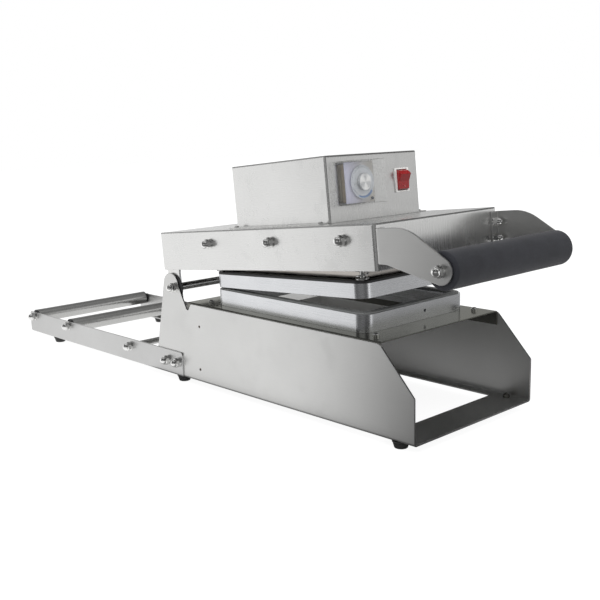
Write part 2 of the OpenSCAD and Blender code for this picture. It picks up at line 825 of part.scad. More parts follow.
// Path of the heating element: a U in the block with both ends turned up
module element_path(r, top) {
    translate([0, element_y0, element_z]) rotate([0, 0, 180])
        rotate_extrude(angle = 180) translate([element_x, 0]) circle(r = r);
    for (x = [-element_x, element_x]) translate([x, 0, element_z]) {
        rod_y(r, element_y0 - eps, element_y1);
        translate([0, element_y1, riser_bend]) rotate([90, 0, 90]) rotate([0, 0, -90])
            rotate_extrude(angle = 90) translate([riser_bend, 0]) circle(r = r);
        translate([0, element_y1 + riser_bend, 0]) rod_z(r, riser_bend - eps, top - element_z);
    }
}
module heating_element() {
    color("#8a6f52") on_head() element_path(element_r, web_z + element_out);
}

// Groove for the element, open to the block's top
module element_groove(r) {
    z0 = element_z - r;
    for (x = [-element_x, element_x])
        translate([x - r, element_y0, z0]) cube([2 * r, element_y1 + riser_bend + r - element_y0, block_h]);
    translate([0, element_y0, z0]) difference() {
        cylinder(r = element_x + r, h = block_h);
        translate([0, 0, -1]) cylinder(r = element_x - r, h = block_h + 2);
        translate([-element_x - 20, 0, -1]) cube([2 * element_x + 40, element_x + 20, block_h + 2]);
    }
}

// Heater block with its sealing land
module heater_block() {
    color(aluminium) on_head() difference() {
        union() {
            translate([0, 0, land_z]) linear_extrude(land_h) plan(frame_w, frame_y0, frame_len, die_r, land_in);
            translate([0, 0, block_z - eps]) linear_extrude(block_h + eps)
                plan(frame_w, frame_y0, frame_len, die_r, block_in);
        }
        translate([0, 0, land_z - 1]) linear_extrude(2.5)
            plan(frame_w, frame_y0, frame_len, die_r, land_in + 10);
        element_groove(element_r + 0.2);
        for (p = standoff_pts) translate([p[0], p[1], 0]) rod_z(heater_bolt_r + thread_fit, block_z + 3, block_top + 1);
        translate([0, probe_y, 0]) rod_z(probe_r + 0.1, block_z + 2, block_top + 1);
    }
}
module heater_holes(z0, z1) {
    for (p = standoff_pts) translate([p[0], p[1], 0]) rod_z(heater_bolt_r + hole_fit, z0, z1);
    for (x = [-element_x, element_x]) translate([x, element_y1 + riser_bend, 0]) rod_z(element_r + 1, z0, z1);
    translate([0, probe_y, 0]) rod_z(probe_r + hole_fit, z0, z1);
}
module heater_insulation() {
    color("#d9d4c5") on_head() difference() {
        translate([0, 0, block_top]) linear_extrude(insulation_h)
            plan(frame_w, frame_y0, frame_len, die_r, block_in);
        heater_holes(block_top - 1, cover_top);
        for (x = [-element_x, element_x]) translate([x - element_r - 1, element_y1 - 8, block_top - 1])
            cube([2 * element_r + 2, riser_bend + 8, insulation_h + 2]);
    }
}
module heater_cover() {
    color("#a79f95") on_head() difference() {
        translate([0, 0, block_z + 2]) linear_extrude(cover_top - block_z - 2)
            plan(frame_w, frame_y0, frame_len, die_r, cover_in);
        translate([0, 0, block_z + 1]) linear_extrude(cover_top - cover_sheet - block_z - 1)
            plan(frame_w, frame_y0, frame_len, die_r, cover_in + cover_sheet);
        heater_holes(block_top, cover_top + 1);
    }
}
module heater_standoffs() {
    color(bright) on_head() for (p = standoff_pts) translate([p[0], p[1], cover_top])
        washer(7, heater_bolt_r + hole_fit, web_z - cover_top);
}
module heater_screws() {
    color(bright) on_head() for (p = standoff_pts) translate([p[0], p[1], 0]) {
        rod_z(heater_bolt_r, block_z + 4, web_z + frame_sheet + eps);
        translate([0, 0, web_z + frame_sheet]) button_head(5, 4);
    }
}
module temperature_probe() {
    color(bright) on_head() translate([0, probe_y, 0]) {
        rod_z(probe_r, block_z + 3, web_z + probe_out);
        rod_z(5, web_z + frame_sheet, web_z + frame_sheet + 4);
    }
}
module thermal_cutout() {
    color("#e4e0d4") on_head() translate([34, probe_y, web_z + frame_sheet]) {
        cylinder(r = 8, h = 7);
        translate([-12, -4.5, 0]) cube([24, 9, 1]);
        for (x = [-4, 4]) translate([x - 0.4, -3.1, 6]) cube([0.8, 6.2, 7]);
    }
}

// Control box: a folded cover with two side flanges, screwed to the head
box_screw_r = 2;
module control_box() {
    color(steel) on_head() difference() {
        union() {
            translate([0, box_front, head_top]) sheet_box(box_w, box_len, box_h, box_sheet, 3, 3);
            both_sides() translate([box_w / 2 - box_sheet, box_front + 3, head_top])
                cube([box_flange + box_sheet, box_len - 6, box_sheet]);
        }
        for (x = [-box_screw_x, box_screw_x]) for (y = box_screw_y)
            translate([x, y, head_top]) rod_z(box_screw_r + hole_fit, -1, box_sheet + 1);
        translate([plate_x, box_front + 1, panel_mid_z])
            cube([housing_w + 0.4, 6, housing_w + 0.4], center = true);
        translate([switch_x, box_front + 1, switch_z])
            cube([switch_out_w + 0.4, 6, switch_out_h + 0.4], center = true);
        translate([gland_x, box_front + box_len, gland_z]) rod_y(gland_r + hole_fit, -box_sheet - 1, 1);
    }
}
module box_screws() {
    color(bright) on_head() for (x = [-box_screw_x, box_screw_x]) for (y = box_screw_y)
        translate([x, y, head_top + box_sheet]) {
            button_head(3.8, 2.4);
            rod_z(box_screw_r, -box_sheet - head_sheet - 3, eps);
        }
}

// Thermostat behind the panel, with its dial plate in front
module thermostat_housing() {
    color("#3a3a3c") on_head() difference() {
        translate([plate_x - housing_w / 2, box_front - plate_out + plate_t, panel_mid_z - housing_w / 2])
            cube([housing_w, housing_d, housing_w]);
        translate([dial_x, box_front - plate_out, panel_mid_z]) rod_y(dial_shaft_r + run_fit, -1, dial_shaft_d + 1);
        translate([lamp_x, box_front - plate_out, lamp_z]) rod_y(lamp_r + 0.1, -1, 9);
    }
}
module dial_plate() {
    color("#c3c4cd") on_head() difference() {
        translate([plate_x - plate_w / 2, box_front - plate_out, panel_mid_z - plate_w / 2])
            cube([plate_w, plate_t, plate_w]);
        translate([dial_x, box_front - plate_out, panel_mid_z]) rod_y(dial_shaft_r + 0.4, -1, plate_t + 1);
        translate([lamp_x, box_front - plate_out, lamp_z]) rod_y(lamp_r + 0.1, -1, plate_t + 1);
    }
}
module pilot_lamp() {
    color("#5b6472") on_head() translate([lamp_x, box_front - plate_out, lamp_z]) {
        rod_y(lamp_r, -1, 8);
        translate([0, -1, 0]) sphere(r = lamp_r);
    }
}
module window_cover() {
    color([0.85, 0.87, 0.88, 0.45]) on_head() difference() {
        translate([window_x0, box_front, panel_mid_z - window_h / 2]) rotate([90, 0, 0])
            linear_extrude(window_d) translate([window_w / 2, window_h / 2]) rounded(window_w, window_h, 1.5);
        translate([window_x0 + window_wall, box_front - window_d + window_wall, panel_mid_z - window_h / 2 + window_wall])
            cube([window_w - 2 * window_wall, window_d, window_h - 2 * window_wall]);
    }
}
module thermostat_knob() {
    disc_y = -plate_out - dial_lift;
    color("#e6e8ea") on_head() translate([dial_x, box_front, panel_mid_z]) {
        rod_y(dial_r, disc_y - dial_t, disc_y);
        difference() {
            rod_y(knob_r, -knob_out, disc_y - dial_t + eps);
            for (a = [0 : 18 : 342]) rotate([0, a, 0]) translate([knob_r + 0.5, 0, 0])
                rod_y(0.9, -knob_out - 1, disc_y - dial_t - 1);
        }
        rod_y(dial_shaft_r, disc_y - eps, disc_y + dial_shaft_d);
    }
}

// Rocker switch: a housing with a bezel, and the rocker on two side pins
switch_in_w = rocker_w + 0.8;
switch_in_h = rocker_h + 2 * rocker_gap;
switch_out_w = switch_in_w + 2 * bezel_rim;
switch_out_h = switch_in_h + 2 * switch_wall;
rocker_pin_r = 1.5;
rocker_pin_in = 2.5;
module switch_housing() {
    color("#e9e8e6") on_head() translate([switch_x, box_front, switch_z]) difference() {
        union() {
            translate([0, 12 - bezel_t / 2, 0])
                cube([switch_out_w, 24 + bezel_t, switch_out_h], center = true);
            translate([0, -bezel_t, 0]) rotate([-90, 0, 0]) linear_extrude(bezel_t)
                rounded(switch_out_w + 4.6, switch_out_h + 2.4, 1);
        }
        translate([-switch_in_w / 2, -bezel_t - 1, -switch_in_h / 2]) cube([switch_in_w, 12 + bezel_t, switch_in_h]);
        translate([0, rocker_pin_in, 0]) rod_x(rocker_pin_r + run_fit, -switch_in_w / 2 - 0.9, switch_in_w / 2 + 0.9);
    }
}

// The rocker's face is a shallow V, and its ends are round about the pins
rocker_face = 8.2;
module rocker() {
    color("#b3161c") on_head() translate([switch_x, box_front + rocker_pin_in, switch_z]) rotate([rocker_tilt, 0, 0]) {
        intersection() {
            rod_x(rocker_h / 2, -rocker_w / 2, rocker_w / 2);
            side_prism([[-rocker_face, 0], [-rocker_face - 2.4, rocker_h / 2], [3, rocker_h / 2],
                [3, -rocker_h / 2], [-rocker_face - 2.4, -rocker_h / 2]], -rocker_w / 2, rocker_w / 2);
        }
        rod_x(rocker_pin_r, -switch_in_w / 2 - 0.7, switch_in_w / 2 + 0.7);
    }
}

module terminal_block() {
    color("#e2e0da") on_head() translate([10, box_front + 130, head_top]) difference() {
        translate([-36, 0, 0]) cube([72, 22, 16]);
        for (i = [0 : 5]) translate([-30 + i * 12, 0, 0]) {
            translate([0, 5.5, 0]) rod_z(2.2, 9, 17);
            translate([0, 16.5, 0]) rod_z(2.2, 9, 17);
            translate([0, 0, 5]) rod_y(2.4, -1, 23);
        }
    }
}

// Gland for the mains lead in the box's rear wall
gland_x = -52;
gland_z = head_top + 24;
gland_r = 8;
module cable_gland() {
    color(black) on_head() translate([gland_x, box_front + box_len, gland_z]) difference() {
        union() {
            rod_y(gland_r, -10, 1);
            rotate([-90, 0, 0]) cylinder(d = 22 / cos(30), h = 5, $fn = 6);
            rod_y(10, 4, 16);
            translate([0, 16, 0]) rotate([-90, 0, 0]) cylinder(r1 = 10, r2 = 6.5, h = 6);
            translate([0, -box_sheet - 5, 0]) rotate([-90, 0, 0]) cylinder(d = 21 / cos(30), h = 5, $fn = 6);
        }
        rod_y(4.2, -11, 30);
    }
}

// Handle brackets: a cheek beside the grip with a tab turned in on the head's front
bracket_outline = round_poly(concat(
    [[head_front, bracket_bottom, 1], [head_front, bracket_top, 1.5], [head_front - bracket_flat, bracket_top, 60]],
    [for (p = arc(bar_y, bar_z, nose_r, 126, 289, 20)) [p[0], p[1], 0]],
    [[head_front - 14, bracket_bottom - 0.7, 14]]));
bracket_bend = 3;
module bracket() {
    reach = bar_reach + 2 * nose_r;
    low = bar_z - 2 * nose_r;
    high = bracket_top + nose_r;
    difference() {
        intersection() {
            side_prism(bracket_outline, 0, half_w);
            translate([0, head_front - reach, low]) linear_extrude(high - low) difference() {
                rounded(2 * half_w, 2 * reach, bracket_bend);
                translate([0, -bracket_sheet])
                    rounded(2 * (half_w - bracket_sheet), 2 * reach, bracket_bend - 1.5);
            }
        }
        translate([-tab_w, head_front - reach, low]) cube([half_w, reach + 1, high - low]);
        translate([0, bar_y, bar_z]) rod_x(bolt_r + hole_fit, 50, half_w + 1);
        for (z = tab_bolt_z) translate([tab_bolt_x, head_front, z]) rod_y(bolt_r + hole_fit, -bracket_sheet - 1, 1);
    }
}
module right_bracket() {
    color(steel) on_head() bracket();
}
module left_bracket() {
    color(steel) on_head() mirror([1, 0, 0]) bracket();
}
module handle_bar() {
    bar_half = half_w - bracket_sheet;
    color(bright) on_head() translate([0, bar_y, bar_z]) {
        difference() {
            rod_x(bar_r, -bar_half, bar_half);
            rod_x(bar_r - 1.5, -bar_half + 12, bar_half - 12);
        }
        both_sides() rod_x(bolt_r, bar_half - eps, half_w + washer_h + thread_out);
    }
}
module foam_grip() {
    grip_half = half_w - bracket_sheet - 1.5;
    color("#3c3d45") on_head() translate([0, bar_y, bar_z]) difference() {
        rod_x(grip_r, -grip_half, grip_half);
        rod_x(bar_r + thread_fit, -half_w, half_w);
    }
}

// Clamp frame, level on the gasket when the head is closed
module frame_ring(z0, h) {
    translate([0, 0, z0]) linear_extrude(h) difference() {
        plan(frame_w, frame_y0, frame_len, die_r);
        plan(frame_w, frame_y0, frame_len, die_r, frame_wall);
    }
}
module at_posts() {
    for (x = [-post_x, post_x]) for (y = post_ys) translate([x, y, 0]) children();
}
module clamp_frame() {
    color(aluminium) on_frame() difference() {
        frame_ring(frame_base, frame_h);
        at_posts() rod_z(post_r + thread_fit, frame_top - 12, frame_top + 1);
    }
}
module insulating_ring() {
    color(black) on_frame() difference() {
        frame_ring(frame_top, ring_h);
        at_posts() rod_z(post_r + hole_fit, frame_top - 1, ring_top + 1);
    }
}
module spring_posts() {
    color(bright) on_frame() for (y = post_ys) {
        nut_z = web_z + frame_sheet + post_drop(y) + 0.5;
        for (x = [-post_x, post_x]) translate([x, y, 0]) {
            rod_z(post_r, frame_top - 11.5, nut_z + 6.5);
            difference() {
                translate([0, 0, nut_z]) cylinder(d = nut_af / cos(30), h = 5, $fn = 6);
                rod_z(post_r + thread_fit, nut_z - 1, nut_z + 6);
            }
        }
    }
}

// Post springs: one tube each, with closed end turns, from the ring up to the sub-frame
coil_steps = 8;
coil_sides = 6;
end_pitch = 2 * wire_r + 0.5;
function coil_length(y) = web_z - ring_top + post_drop(y) - 2 * wire_r - 0.6;
function coil_z(t, span) =
    t < 1 ? t * end_pitch
    : t > spring_turns - 1 ? span - (spring_turns - t) * end_pitch
    : end_pitch + (t - 1) * (span - 2 * end_pitch) / (spring_turns - 2);
function coil_ring(i, span) =
    let (
        t = i / coil_steps,
        a = 360 * t,
        out = [cos(a), sin(a), 0],
        c = [0, 0, coil_z(t, span) + wire_r + 0.2] + spring_r * out
    )
    [for (k = [0 : coil_sides - 1])
        let (b = 360 * k / coil_sides) c + wire_r * (cos(b) * out + sin(b) * [0, 0, 1])];
module coil(span) {
    rings = spring_turns * coil_steps;
    points = [for (i = [0 : rings]) each coil_ring(i, span)];
    last = rings * coil_sides;
    faces = concat(
        [for (k = [1 : coil_sides - 2]) [0, k + 1, k]],
        [for (i = [0 : rings - 1]) for (k = [0 : coil_sides - 1])
            let (a = i * coil_sides + k, b = i * coil_sides + (k + 1) % coil_sides)
            each [[a, b, b + coil_sides], [a, b + coil_sides, a + coil_sides]]],
        [for (k = [1 : coil_sides - 2]) [last, last + k, last + k + 1]]);
    polyhedron(points = points, faces = faces);
}
module post_springs() {
    color(bright) on_frame() for (y = post_ys) for (x = [-post_x, post_x])
        translate([x, y, ring_top]) coil(coil_length(y));
}

// The least gap between neighbouring turns, measured on the rings' points
function ring_gap(i, span) =
    let (a = coil_ring(i, span), b = coil_ring(i + coil_steps, span))
    min([for (p = a) for (q = b) norm(p - q)]);
coil_gaps = [for (y = post_ys) let (span = coil_length(y))
    min([for (i = [0 : (spring_turns - 1) * coil_steps]) ring_gap(i, span)])];
echo(least_coil_gap = min(coil_gaps));

base_shell();
deck_plate();
rear_bulkhead();
bulkhead_screws();
deck_studs();
lower_die();
lower_gasket();
base_feet();
foot_screws();
left_rail();
right_rail();
rail_feet();
front_axle();
rear_axle();
tie_rod();
rail_bolts();
rack_cap_nuts();
rack_washers();
front_roller();
front_roller_bushes();
rear_roller();
rear_roller_bushes();
pivot_shaft();
thrust_washers();
pivot_cap_nuts();
pivot_washers();
head_shell();
head_subframe();
left_hinge_arm();
right_hinge_arm();
head_screws();
head_cap_nuts();
head_washers();
heater_block();
heating_element();
heater_insulation();
heater_cover();
heater_standoffs();
heater_screws();
temperature_probe();
thermal_cutout();
control_box();
box_screws();
thermostat_housing();
dial_plate();
pilot_lamp();
window_cover();
switch_housing();
terminal_block();
cable_gland();
left_bracket();
right_bracket();
handle_bar();
foam_grip();
clamp_frame();
insulating_ring();
spring_posts();
post_springs();
rocker();
thermostat_knob();
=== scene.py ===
import json
import math

import bmesh
import bpy
from mathutils import Matrix, Vector, noise


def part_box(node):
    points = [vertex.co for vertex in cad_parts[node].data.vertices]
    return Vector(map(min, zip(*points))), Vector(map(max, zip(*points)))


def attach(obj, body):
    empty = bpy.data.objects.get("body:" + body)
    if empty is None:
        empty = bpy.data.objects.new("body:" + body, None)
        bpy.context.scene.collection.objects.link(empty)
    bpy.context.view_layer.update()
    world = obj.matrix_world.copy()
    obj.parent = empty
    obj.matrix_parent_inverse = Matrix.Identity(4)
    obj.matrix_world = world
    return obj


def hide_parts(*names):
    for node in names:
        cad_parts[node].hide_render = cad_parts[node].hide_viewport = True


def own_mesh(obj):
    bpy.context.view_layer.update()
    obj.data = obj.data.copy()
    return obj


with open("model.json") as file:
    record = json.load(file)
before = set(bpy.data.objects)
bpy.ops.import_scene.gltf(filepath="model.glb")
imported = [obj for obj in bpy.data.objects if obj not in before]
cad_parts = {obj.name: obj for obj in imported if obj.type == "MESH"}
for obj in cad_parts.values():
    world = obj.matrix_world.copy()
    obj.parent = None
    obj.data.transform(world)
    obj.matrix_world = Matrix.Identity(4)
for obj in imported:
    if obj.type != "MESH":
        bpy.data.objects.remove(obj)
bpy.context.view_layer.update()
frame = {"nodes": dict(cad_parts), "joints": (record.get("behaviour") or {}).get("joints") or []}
nodes = frame["nodes"]
joints = {joint["name"]: joint for joint in frame["joints"]}
scene = bpy.context.scene

# Frames of the head and of the clamp frame at rest, worked out from the joints. The clamp frame hangs
# down from the head's level by the tilt that the CAD gives it
MM = 0.001
PIVOT = Vector(joints["head_lift"]["pos_m"])
HEAD_TILT = -math.radians(joints["head_press"]["range_deg"][0])
FLOAT_LINE = Vector(joints["clamp_frame_float"]["pos_m"])
FLOAT_TILT = math.radians(2.02)
HEAD = Matrix.Translation(PIVOT) @ Matrix.Rotation(-HEAD_TILT, 4, "X")
CLAMP = Matrix.Translation(FLOAT_LINE) @ Matrix.Rotation(FLOAT_TILT - HEAD_TILT, 4, "X")

# Camera: the photograph's viewpoint, solved from the machine's straight edges
CAMERA_PLACE = Vector((-0.9277, -1.10603, 0.3961))
CAMERA_YAW = math.radians(-43.28)
CAMERA_PITCH = math.radians(11.11)
CAMERA_ROLL = math.radians(-1.39)
CAMERA_LENS = 54.417


def make_camera():
    back = Vector((
        math.sin(CAMERA_YAW) * math.cos(CAMERA_PITCH),
        -math.cos(CAMERA_YAW) * math.cos(CAMERA_PITCH),
        math.sin(CAMERA_PITCH),
    ))
    right = (-back).cross(Vector((0, 0, 1))).normalized()
    up = right.cross(-back)
    cos_roll = math.cos(CAMERA_ROLL)
    sin_roll = math.sin(CAMERA_ROLL)
    turned_right = right * cos_roll + up * sin_roll
    turned_up = up * cos_roll - right * sin_roll
    data = bpy.data.cameras.new("camera")
    data.lens = CAMERA_LENS
    camera = bpy.data.objects.new("camera", data)
    rotation = Matrix((turned_right, turned_up, back)).transposed().to_4x4()
    camera.matrix_world = Matrix.Translation(CAMERA_PLACE) @ rotation
    scene.collection.objects.link(camera)
    scene.camera = camera


# Node trees: one short call adds a node, sets it and links its inputs
def add(tree, kind, inputs=None, **settings):
    node = tree.nodes.new("ShaderNode" + kind)
    for key, value in settings.items():
        setattr(node, key, value)
    for key, value in (inputs or {}).items():
        if isinstance(value, bpy.types.NodeSocket):
            tree.links.new(value, node.inputs[key])
        else:
            node.inputs[key].default_value = value
    return node


def math_node(tree, operation, a, b=0.0):
    return add(tree, "Math", {0: a, 1: b}, operation=operation).outputs[0]


def remap(tree, value, low, high, to_low, to_high, smooth=False):
    kind = "SMOOTHSTEP" if smooth else "LINEAR"
    inputs = {"Value": value, "From Min": low, "From Max": high, "To Min": to_low, "To Max": to_high}
    return add(tree, "MapRange", inputs, interpolation_type=kind).outputs["Result"]


# The Mix node names its sockets alike for numbers and colours, so they are told apart by place
MIX_FACTOR = 0
NUMBER_A, NUMBER_B, NUMBER_OUT = 2, 3, 0
COLOUR_A, COLOUR_B, COLOUR_OUT = 6, 7, 2


def mix_colour(tree, factor, a, b, blend="MIX"):
    inputs = {MIX_FACTOR: factor, COLOUR_A: a, COLOUR_B: b}
    return add(tree, "Mix", inputs, data_type="RGBA", blend_type=blend).outputs[COLOUR_OUT]


def mix_number(tree, factor, a, b):
    inputs = {MIX_FACTOR: factor, NUMBER_A: a, NUMBER_B: b}
    return add(tree, "Mix", inputs, data_type="FLOAT").outputs[NUMBER_OUT]


def rgb(red, green, blue):
    return (red, green, blue, 1.0)


def grey(tone):
    return rgb(tone, tone, tone)


# Stage: a pale floor in an even white room, which mirrors see as a studio of light and dark walls.
# Their tones go by bearing in degrees, where 0 is towards the handle and 90 towards +X
WORLD_FILL = 0.72
BEARINGS = (360, -180)
ROOM_TONES = [
    (-180, 1.0), (-137, 1.0), (-130, 0.55), (-124, 0.17), (-119, 0.07), (-104, 0.1), (-88, 0.4),
    (-46, 0.4), (-30, 0.12), (-14, 0.1), (-2, 0.4), (5, 0.9), (48, 0.86), (62, 0.78), (84, 0.36),
    (112, 0.36), (150, 0.9), (180, 1.0),
]

# The room by height: 0 is level and 1 is straight up, with a dark band that sharpens the sheets' bends
HEIGHT_TONES = [(0.0, 1.0), (0.3, 1.0), (0.42, 0.25), (0.8, 0.3), (0.93, 0.85)]

# The floor: seen plainly it is white, glowing fully beyond the machine's own shade
FLOOR_SIZE = 14.0
FLOOR_DROP = 0.0004
FLOOR_MATT = 0.9
FLOOR_WHITE = 1.15
FLOOR_GLOW = 0.8
GLOW_REACH = (0.7, 1.6)

# The floor in a mirror: a card that darkens towards the camera's side, and tones by bearing on the
# side of +X, both darker under the machine's base
CAMERA_SIDE = Vector((CAMERA_PLACE.x, CAMERA_PLACE.y, 0)).normalized()
CARD_EDGE = (0.22, 0.5)
CARD_TONES = (0.95, 0.1)
RIGHT_EDGE = (0.5, 0.508)
FLOOR_RIGHT_TONES = [
    (-180, 0.95), (0, 0.95), (2, 1.0), (12, 1.0), (19, 0.37), (62, 0.37), (95, 0.7), (150, 0.95),
]
UNDER_TONE = 0.22
UNDER_REACH = 0.05

# Lamps: name, place, target, width and power
LAMPS = [
    ("key", (-1.3, -0.5, 1.9), (0, -0.1, 0.15), 1.6, 22),
    ("fill", (1.5, -0.9, 1.3), (0, -0.1, 0.15), 1.4, 9),
    ("rim", (0.2, 1.7, 1.5), (0, 0, 0.15), 1.4, 10),
]


def grey_ramp(tree, value, stops, whole=1.0, start=0.0):
    """Grey tones between stops; a stop's place counts from the start in parts of the whole."""
    node = add(tree, "ValToRGB", {0: value})
    ramp = node.color_ramp
    while len(ramp.elements) < len(stops):
        ramp.elements.new(0.5)
    for element, (place, tone) in zip(ramp.elements, stops):
        element.position = (place - start) / whole
        element.color = grey(tone)
    return node.outputs["Color"]


def bearing_of(tree, direction):
    """The level bearing of a direction in parts of a turn: 0.5 is towards the handle, 0.75 towards +X."""
    parts = add(tree, "SeparateXYZ", {0: direction}).outputs
    forward = math_node(tree, "MULTIPLY", parts["Y"], -1.0)
    angle = math_node(tree, "ARCTAN2", parts["X"], forward)
    return math_node(tree, "ADD", math_node(tree, "DIVIDE", angle, 2 * math.pi), 0.5)


def room_tone(tree, direction):
    """How bright the room looks in a mirror, by the direction it is seen in."""
    tone = grey_ramp(tree, bearing_of(tree, direction), ROOM_TONES, *BEARINGS)
    height = add(tree, "SeparateXYZ", {0: direction}).outputs["Z"]
    return math_node(tree, "MULTIPLY", tone, grey_ramp(tree, height, HEIGHT_TONES))


def under_tone(tree, place):
    """The shade that the machine's base throws on the floor under it and close beside it."""
    low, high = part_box("base_shell")
    parts = add(tree, "SeparateXYZ", {0: place}).outputs
    gaps = []
    for axis, start, end in (("X", low.x, high.x), ("Y", low.y, high.y)):
        off = math_node(tree, "ABSOLUTE", math_node(tree, "SUBTRACT", parts[axis], (start + end) / 2))
        gaps.append(math_node(tree, "SUBTRACT", off, (end - start) / 2))
    gap = math_node(tree, "MAXIMUM", *gaps)
    return remap(tree, gap, 0.0, UNDER_REACH, UNDER_TONE, 1.0, smooth=True)


def floor_tone(tree, place):
    """How bright the floor looks in a mirror, by the place that is seen."""
    toward = add(tree, "VectorMath", {0: place, 1: CAMERA_SIDE}, operation="DOT_PRODUCT").outputs["Value"]
    card = remap(tree, toward, *CARD_EDGE, *CARD_TONES, smooth=True)
    bearing = bearing_of(tree, place)
    right = remap(tree, bearing, *RIGHT_EDGE, 0.0, 1.0)
    tone = mix_number(tree, right, card, grey_ramp(tree, bearing, FLOOR_RIGHT_TONES, *BEARINGS))
    return math_node(tree, "MULTIPLY", tone, under_tone(tree, place))


def seen_plainly(tree, path):
    """1 where the camera sees the stage itself or through something clear."""
    return math_node(tree, "MAXIMUM", path["Is Camera Ray"], path["Is Transmission Ray"])


def make_world():
    world = bpy.data.worlds.new("studio")
    scene.world = world
    world.use_nodes = True
    tree = world.node_tree
    tree.nodes.clear()
    path = add(tree, "LightPath").outputs
    direction = add(tree, "TexCoord").outputs["Generated"]
    fill, room, white = (
        add(tree, "Background", {"Color": grey(1), "Strength": strength}).outputs[0]
        for strength in (WORLD_FILL, room_tone(tree, direction), 1.0)
    )
    lit = add(tree, "MixShader", {0: path["Is Glossy Ray"], 1: fill, 2: room}).outputs[0]
    both = add(tree, "MixShader", {0: seen_plainly(tree, path), 1: lit, 2: white}).outputs[0]
    add(tree, "OutputWorld", {"Surface": both})


def floor_material():
    material = bpy.data.materials.new("floor")
    material.use_nodes = True
    tree = material.node_tree
    tree.nodes.clear()
    path = add(tree, "LightPath").outputs
    place = add(tree, "TexCoord").outputs["Object"]
    distance = add(tree, "VectorMath", {0: place}, operation="LENGTH").outputs["Value"]
    matt = add(tree, "BsdfDiffuse", {"Color": grey(FLOOR_MATT)}).outputs[0]
    glow, mirrored = (
        add(tree, "Emission", {"Color": grey(1), "Strength": strength}).outputs[0]
        for strength in (FLOOR_WHITE, floor_tone(tree, place))
    )
    shade = remap(tree, distance, *GLOW_REACH, FLOOR_GLOW, 1.0, smooth=True)
    pale = math_node(tree, "MULTIPLY", seen_plainly(tree, path), shade)
    plain = add(tree, "MixShader", {0: pale, 1: matt, 2: glow}).outputs[0]
    surface = add(tree, "MixShader", {0: path["Is Glossy Ray"], 1: plain, 2: mirrored}).outputs[0]
    add(tree, "OutputMaterial", {"Surface": surface})
    return material


def make_floor():
    half = FLOOR_SIZE / 2
    mesh = bpy.data.meshes.new("floor")
    corners = [(-half, -half, 0), (half, -half, 0), (half, half, 0), (-half, half, 0)]
    mesh.from_pydata(corners, [], [(0, 1, 2, 3)])
    mesh.materials.append(floor_material())
    floor = bpy.data.objects.new("floor", mesh)
    floor.location.z = -FLOOR_DROP
    scene.collection.objects.link(floor)


def make_lamp(name, place, target, width, power):
    data = bpy.data.lights.new(name, "AREA")
    data.shape = "SQUARE"
    data.size = width
    data.energy = power
    lamp = bpy.data.objects.new(name, data)
    lamp.location = place
    lamp.rotation_euler = (Vector(target) - Vector(place)).to_track_quat("-Z", "Y").to_euler()
    lamp.visible_glossy = False
    scene.collection.objects.link(lamp)


# Materials: each starts from one shader and the place on the object, with sizes in metres. Most of a
# noise lies within NOISE_RANGE, and a face looks along an axis where its normal passes FACING
NOISE_RANGE = (0.3, 0.7)
FACING = 0.7
BEVEL_SAMPLES = 4
GRAIN_DEPTH = 0.0003
SKIN_DEPTH = 0.0002
finishes = {}


class Finish:
    """A material, kept among the finishes by its name: its tree, its shader and the object coordinates."""

    def __init__(self, name, **inputs):
        material = bpy.data.materials.new(name)
        material.use_nodes = True
        finishes[name] = material
        self.tree = material.node_tree
        self.shader = self.tree.nodes["Principled BSDF"]
        self.place = self.add("TexCoord").outputs["Object"]
        for key, value in inputs.items():
            self.set(key.replace("_", " "), value)

    def add(self, kind, inputs=None, **settings):
        return add(self.tree, kind, inputs, **settings)

    def set(self, key, value):
        socket = self.shader.inputs[key]
        if isinstance(value, bpy.types.NodeSocket):
            self.tree.links.new(value, socket)
        else:
            socket.default_value = value

    def scaled(self, size, tilt=0.0):
        """Object coordinates counted in steps of the given size, square to a tilted part."""
        inputs = {"Vector": self.place, "Rotation": (tilt, 0, 0), "Scale": size}
        return self.add("Mapping", inputs, vector_type="TEXTURE").outputs["Vector"]

    def noise(self, size, detail=3.0, roughness=0.6, tilt=0.0):
        if isinstance(size, float):
            size = (size, size, size)
        inputs = {"Vector": self.scaled(size, tilt), "Scale": 1.0, "Detail": detail, "Roughness": roughness}
        return self.add("TexNoise", inputs).outputs["Fac"]

    def cells(self, size):
        inputs = {"Vector": self.scaled((size, size, size)), "Scale": 1.0}
        return self.add("TexVoronoi", inputs).outputs["Distance"]

    def stretched(self, value, low=0.0, high=1.0):
        """A noise's usual range, stretched to the given one."""
        return remap(self.tree, value, *NOISE_RANGE, low, high)

    def facing(self, axis):
        """1 on faces that look along the axis, either way."""
        normal = self.add("TexCoord").outputs["Normal"]
        along = self.add("SeparateXYZ", {0: normal}).outputs[axis]
        return math_node(self.tree, "GREATER_THAN", math_node(self.tree, "ABSOLUTE", along), FACING)

    def ends_painted_darker(self, colour, tone):
        """The colour with painted shade, darker on the faces at the machine's ends."""
        if tone == 1:
            return colour
        return mix_colour(self.tree, self.facing("Y"), colour, grey(tone), "MULTIPLY")

    def bump(self, height, strength, distance, edge=0.0):
        """Bump from a height, over rounded edges where an edge radius is given."""
        inputs = {"Height": height, "Strength": strength, "Distance": distance}
        if edge:
            inputs["Normal"] = self.add("Bevel", {"Radius": edge}, samples=BEVEL_SAMPLES).outputs[0]
        self.set("Normal", self.add("Bump", inputs).outputs["Normal"])


# Brushed sheet: fine long grain, wide clouds in its tone and duller smudges
GRAIN_LENGTH = 0.06
GRAIN_WIDTH = 0.0003
GRAIN_SHARE = 0.35
GRAIN_SPREAD = 0.025
SHEET_RANGE = (0.35, 0.65)
SHEET_EDGE = 0.0014
CLOUD_SIZE = 0.11
SMUDGE_SIZE = 0.035
SMUDGE_RANGE = (0.52, 0.72)
SMUDGE_ROUGH = 0.05


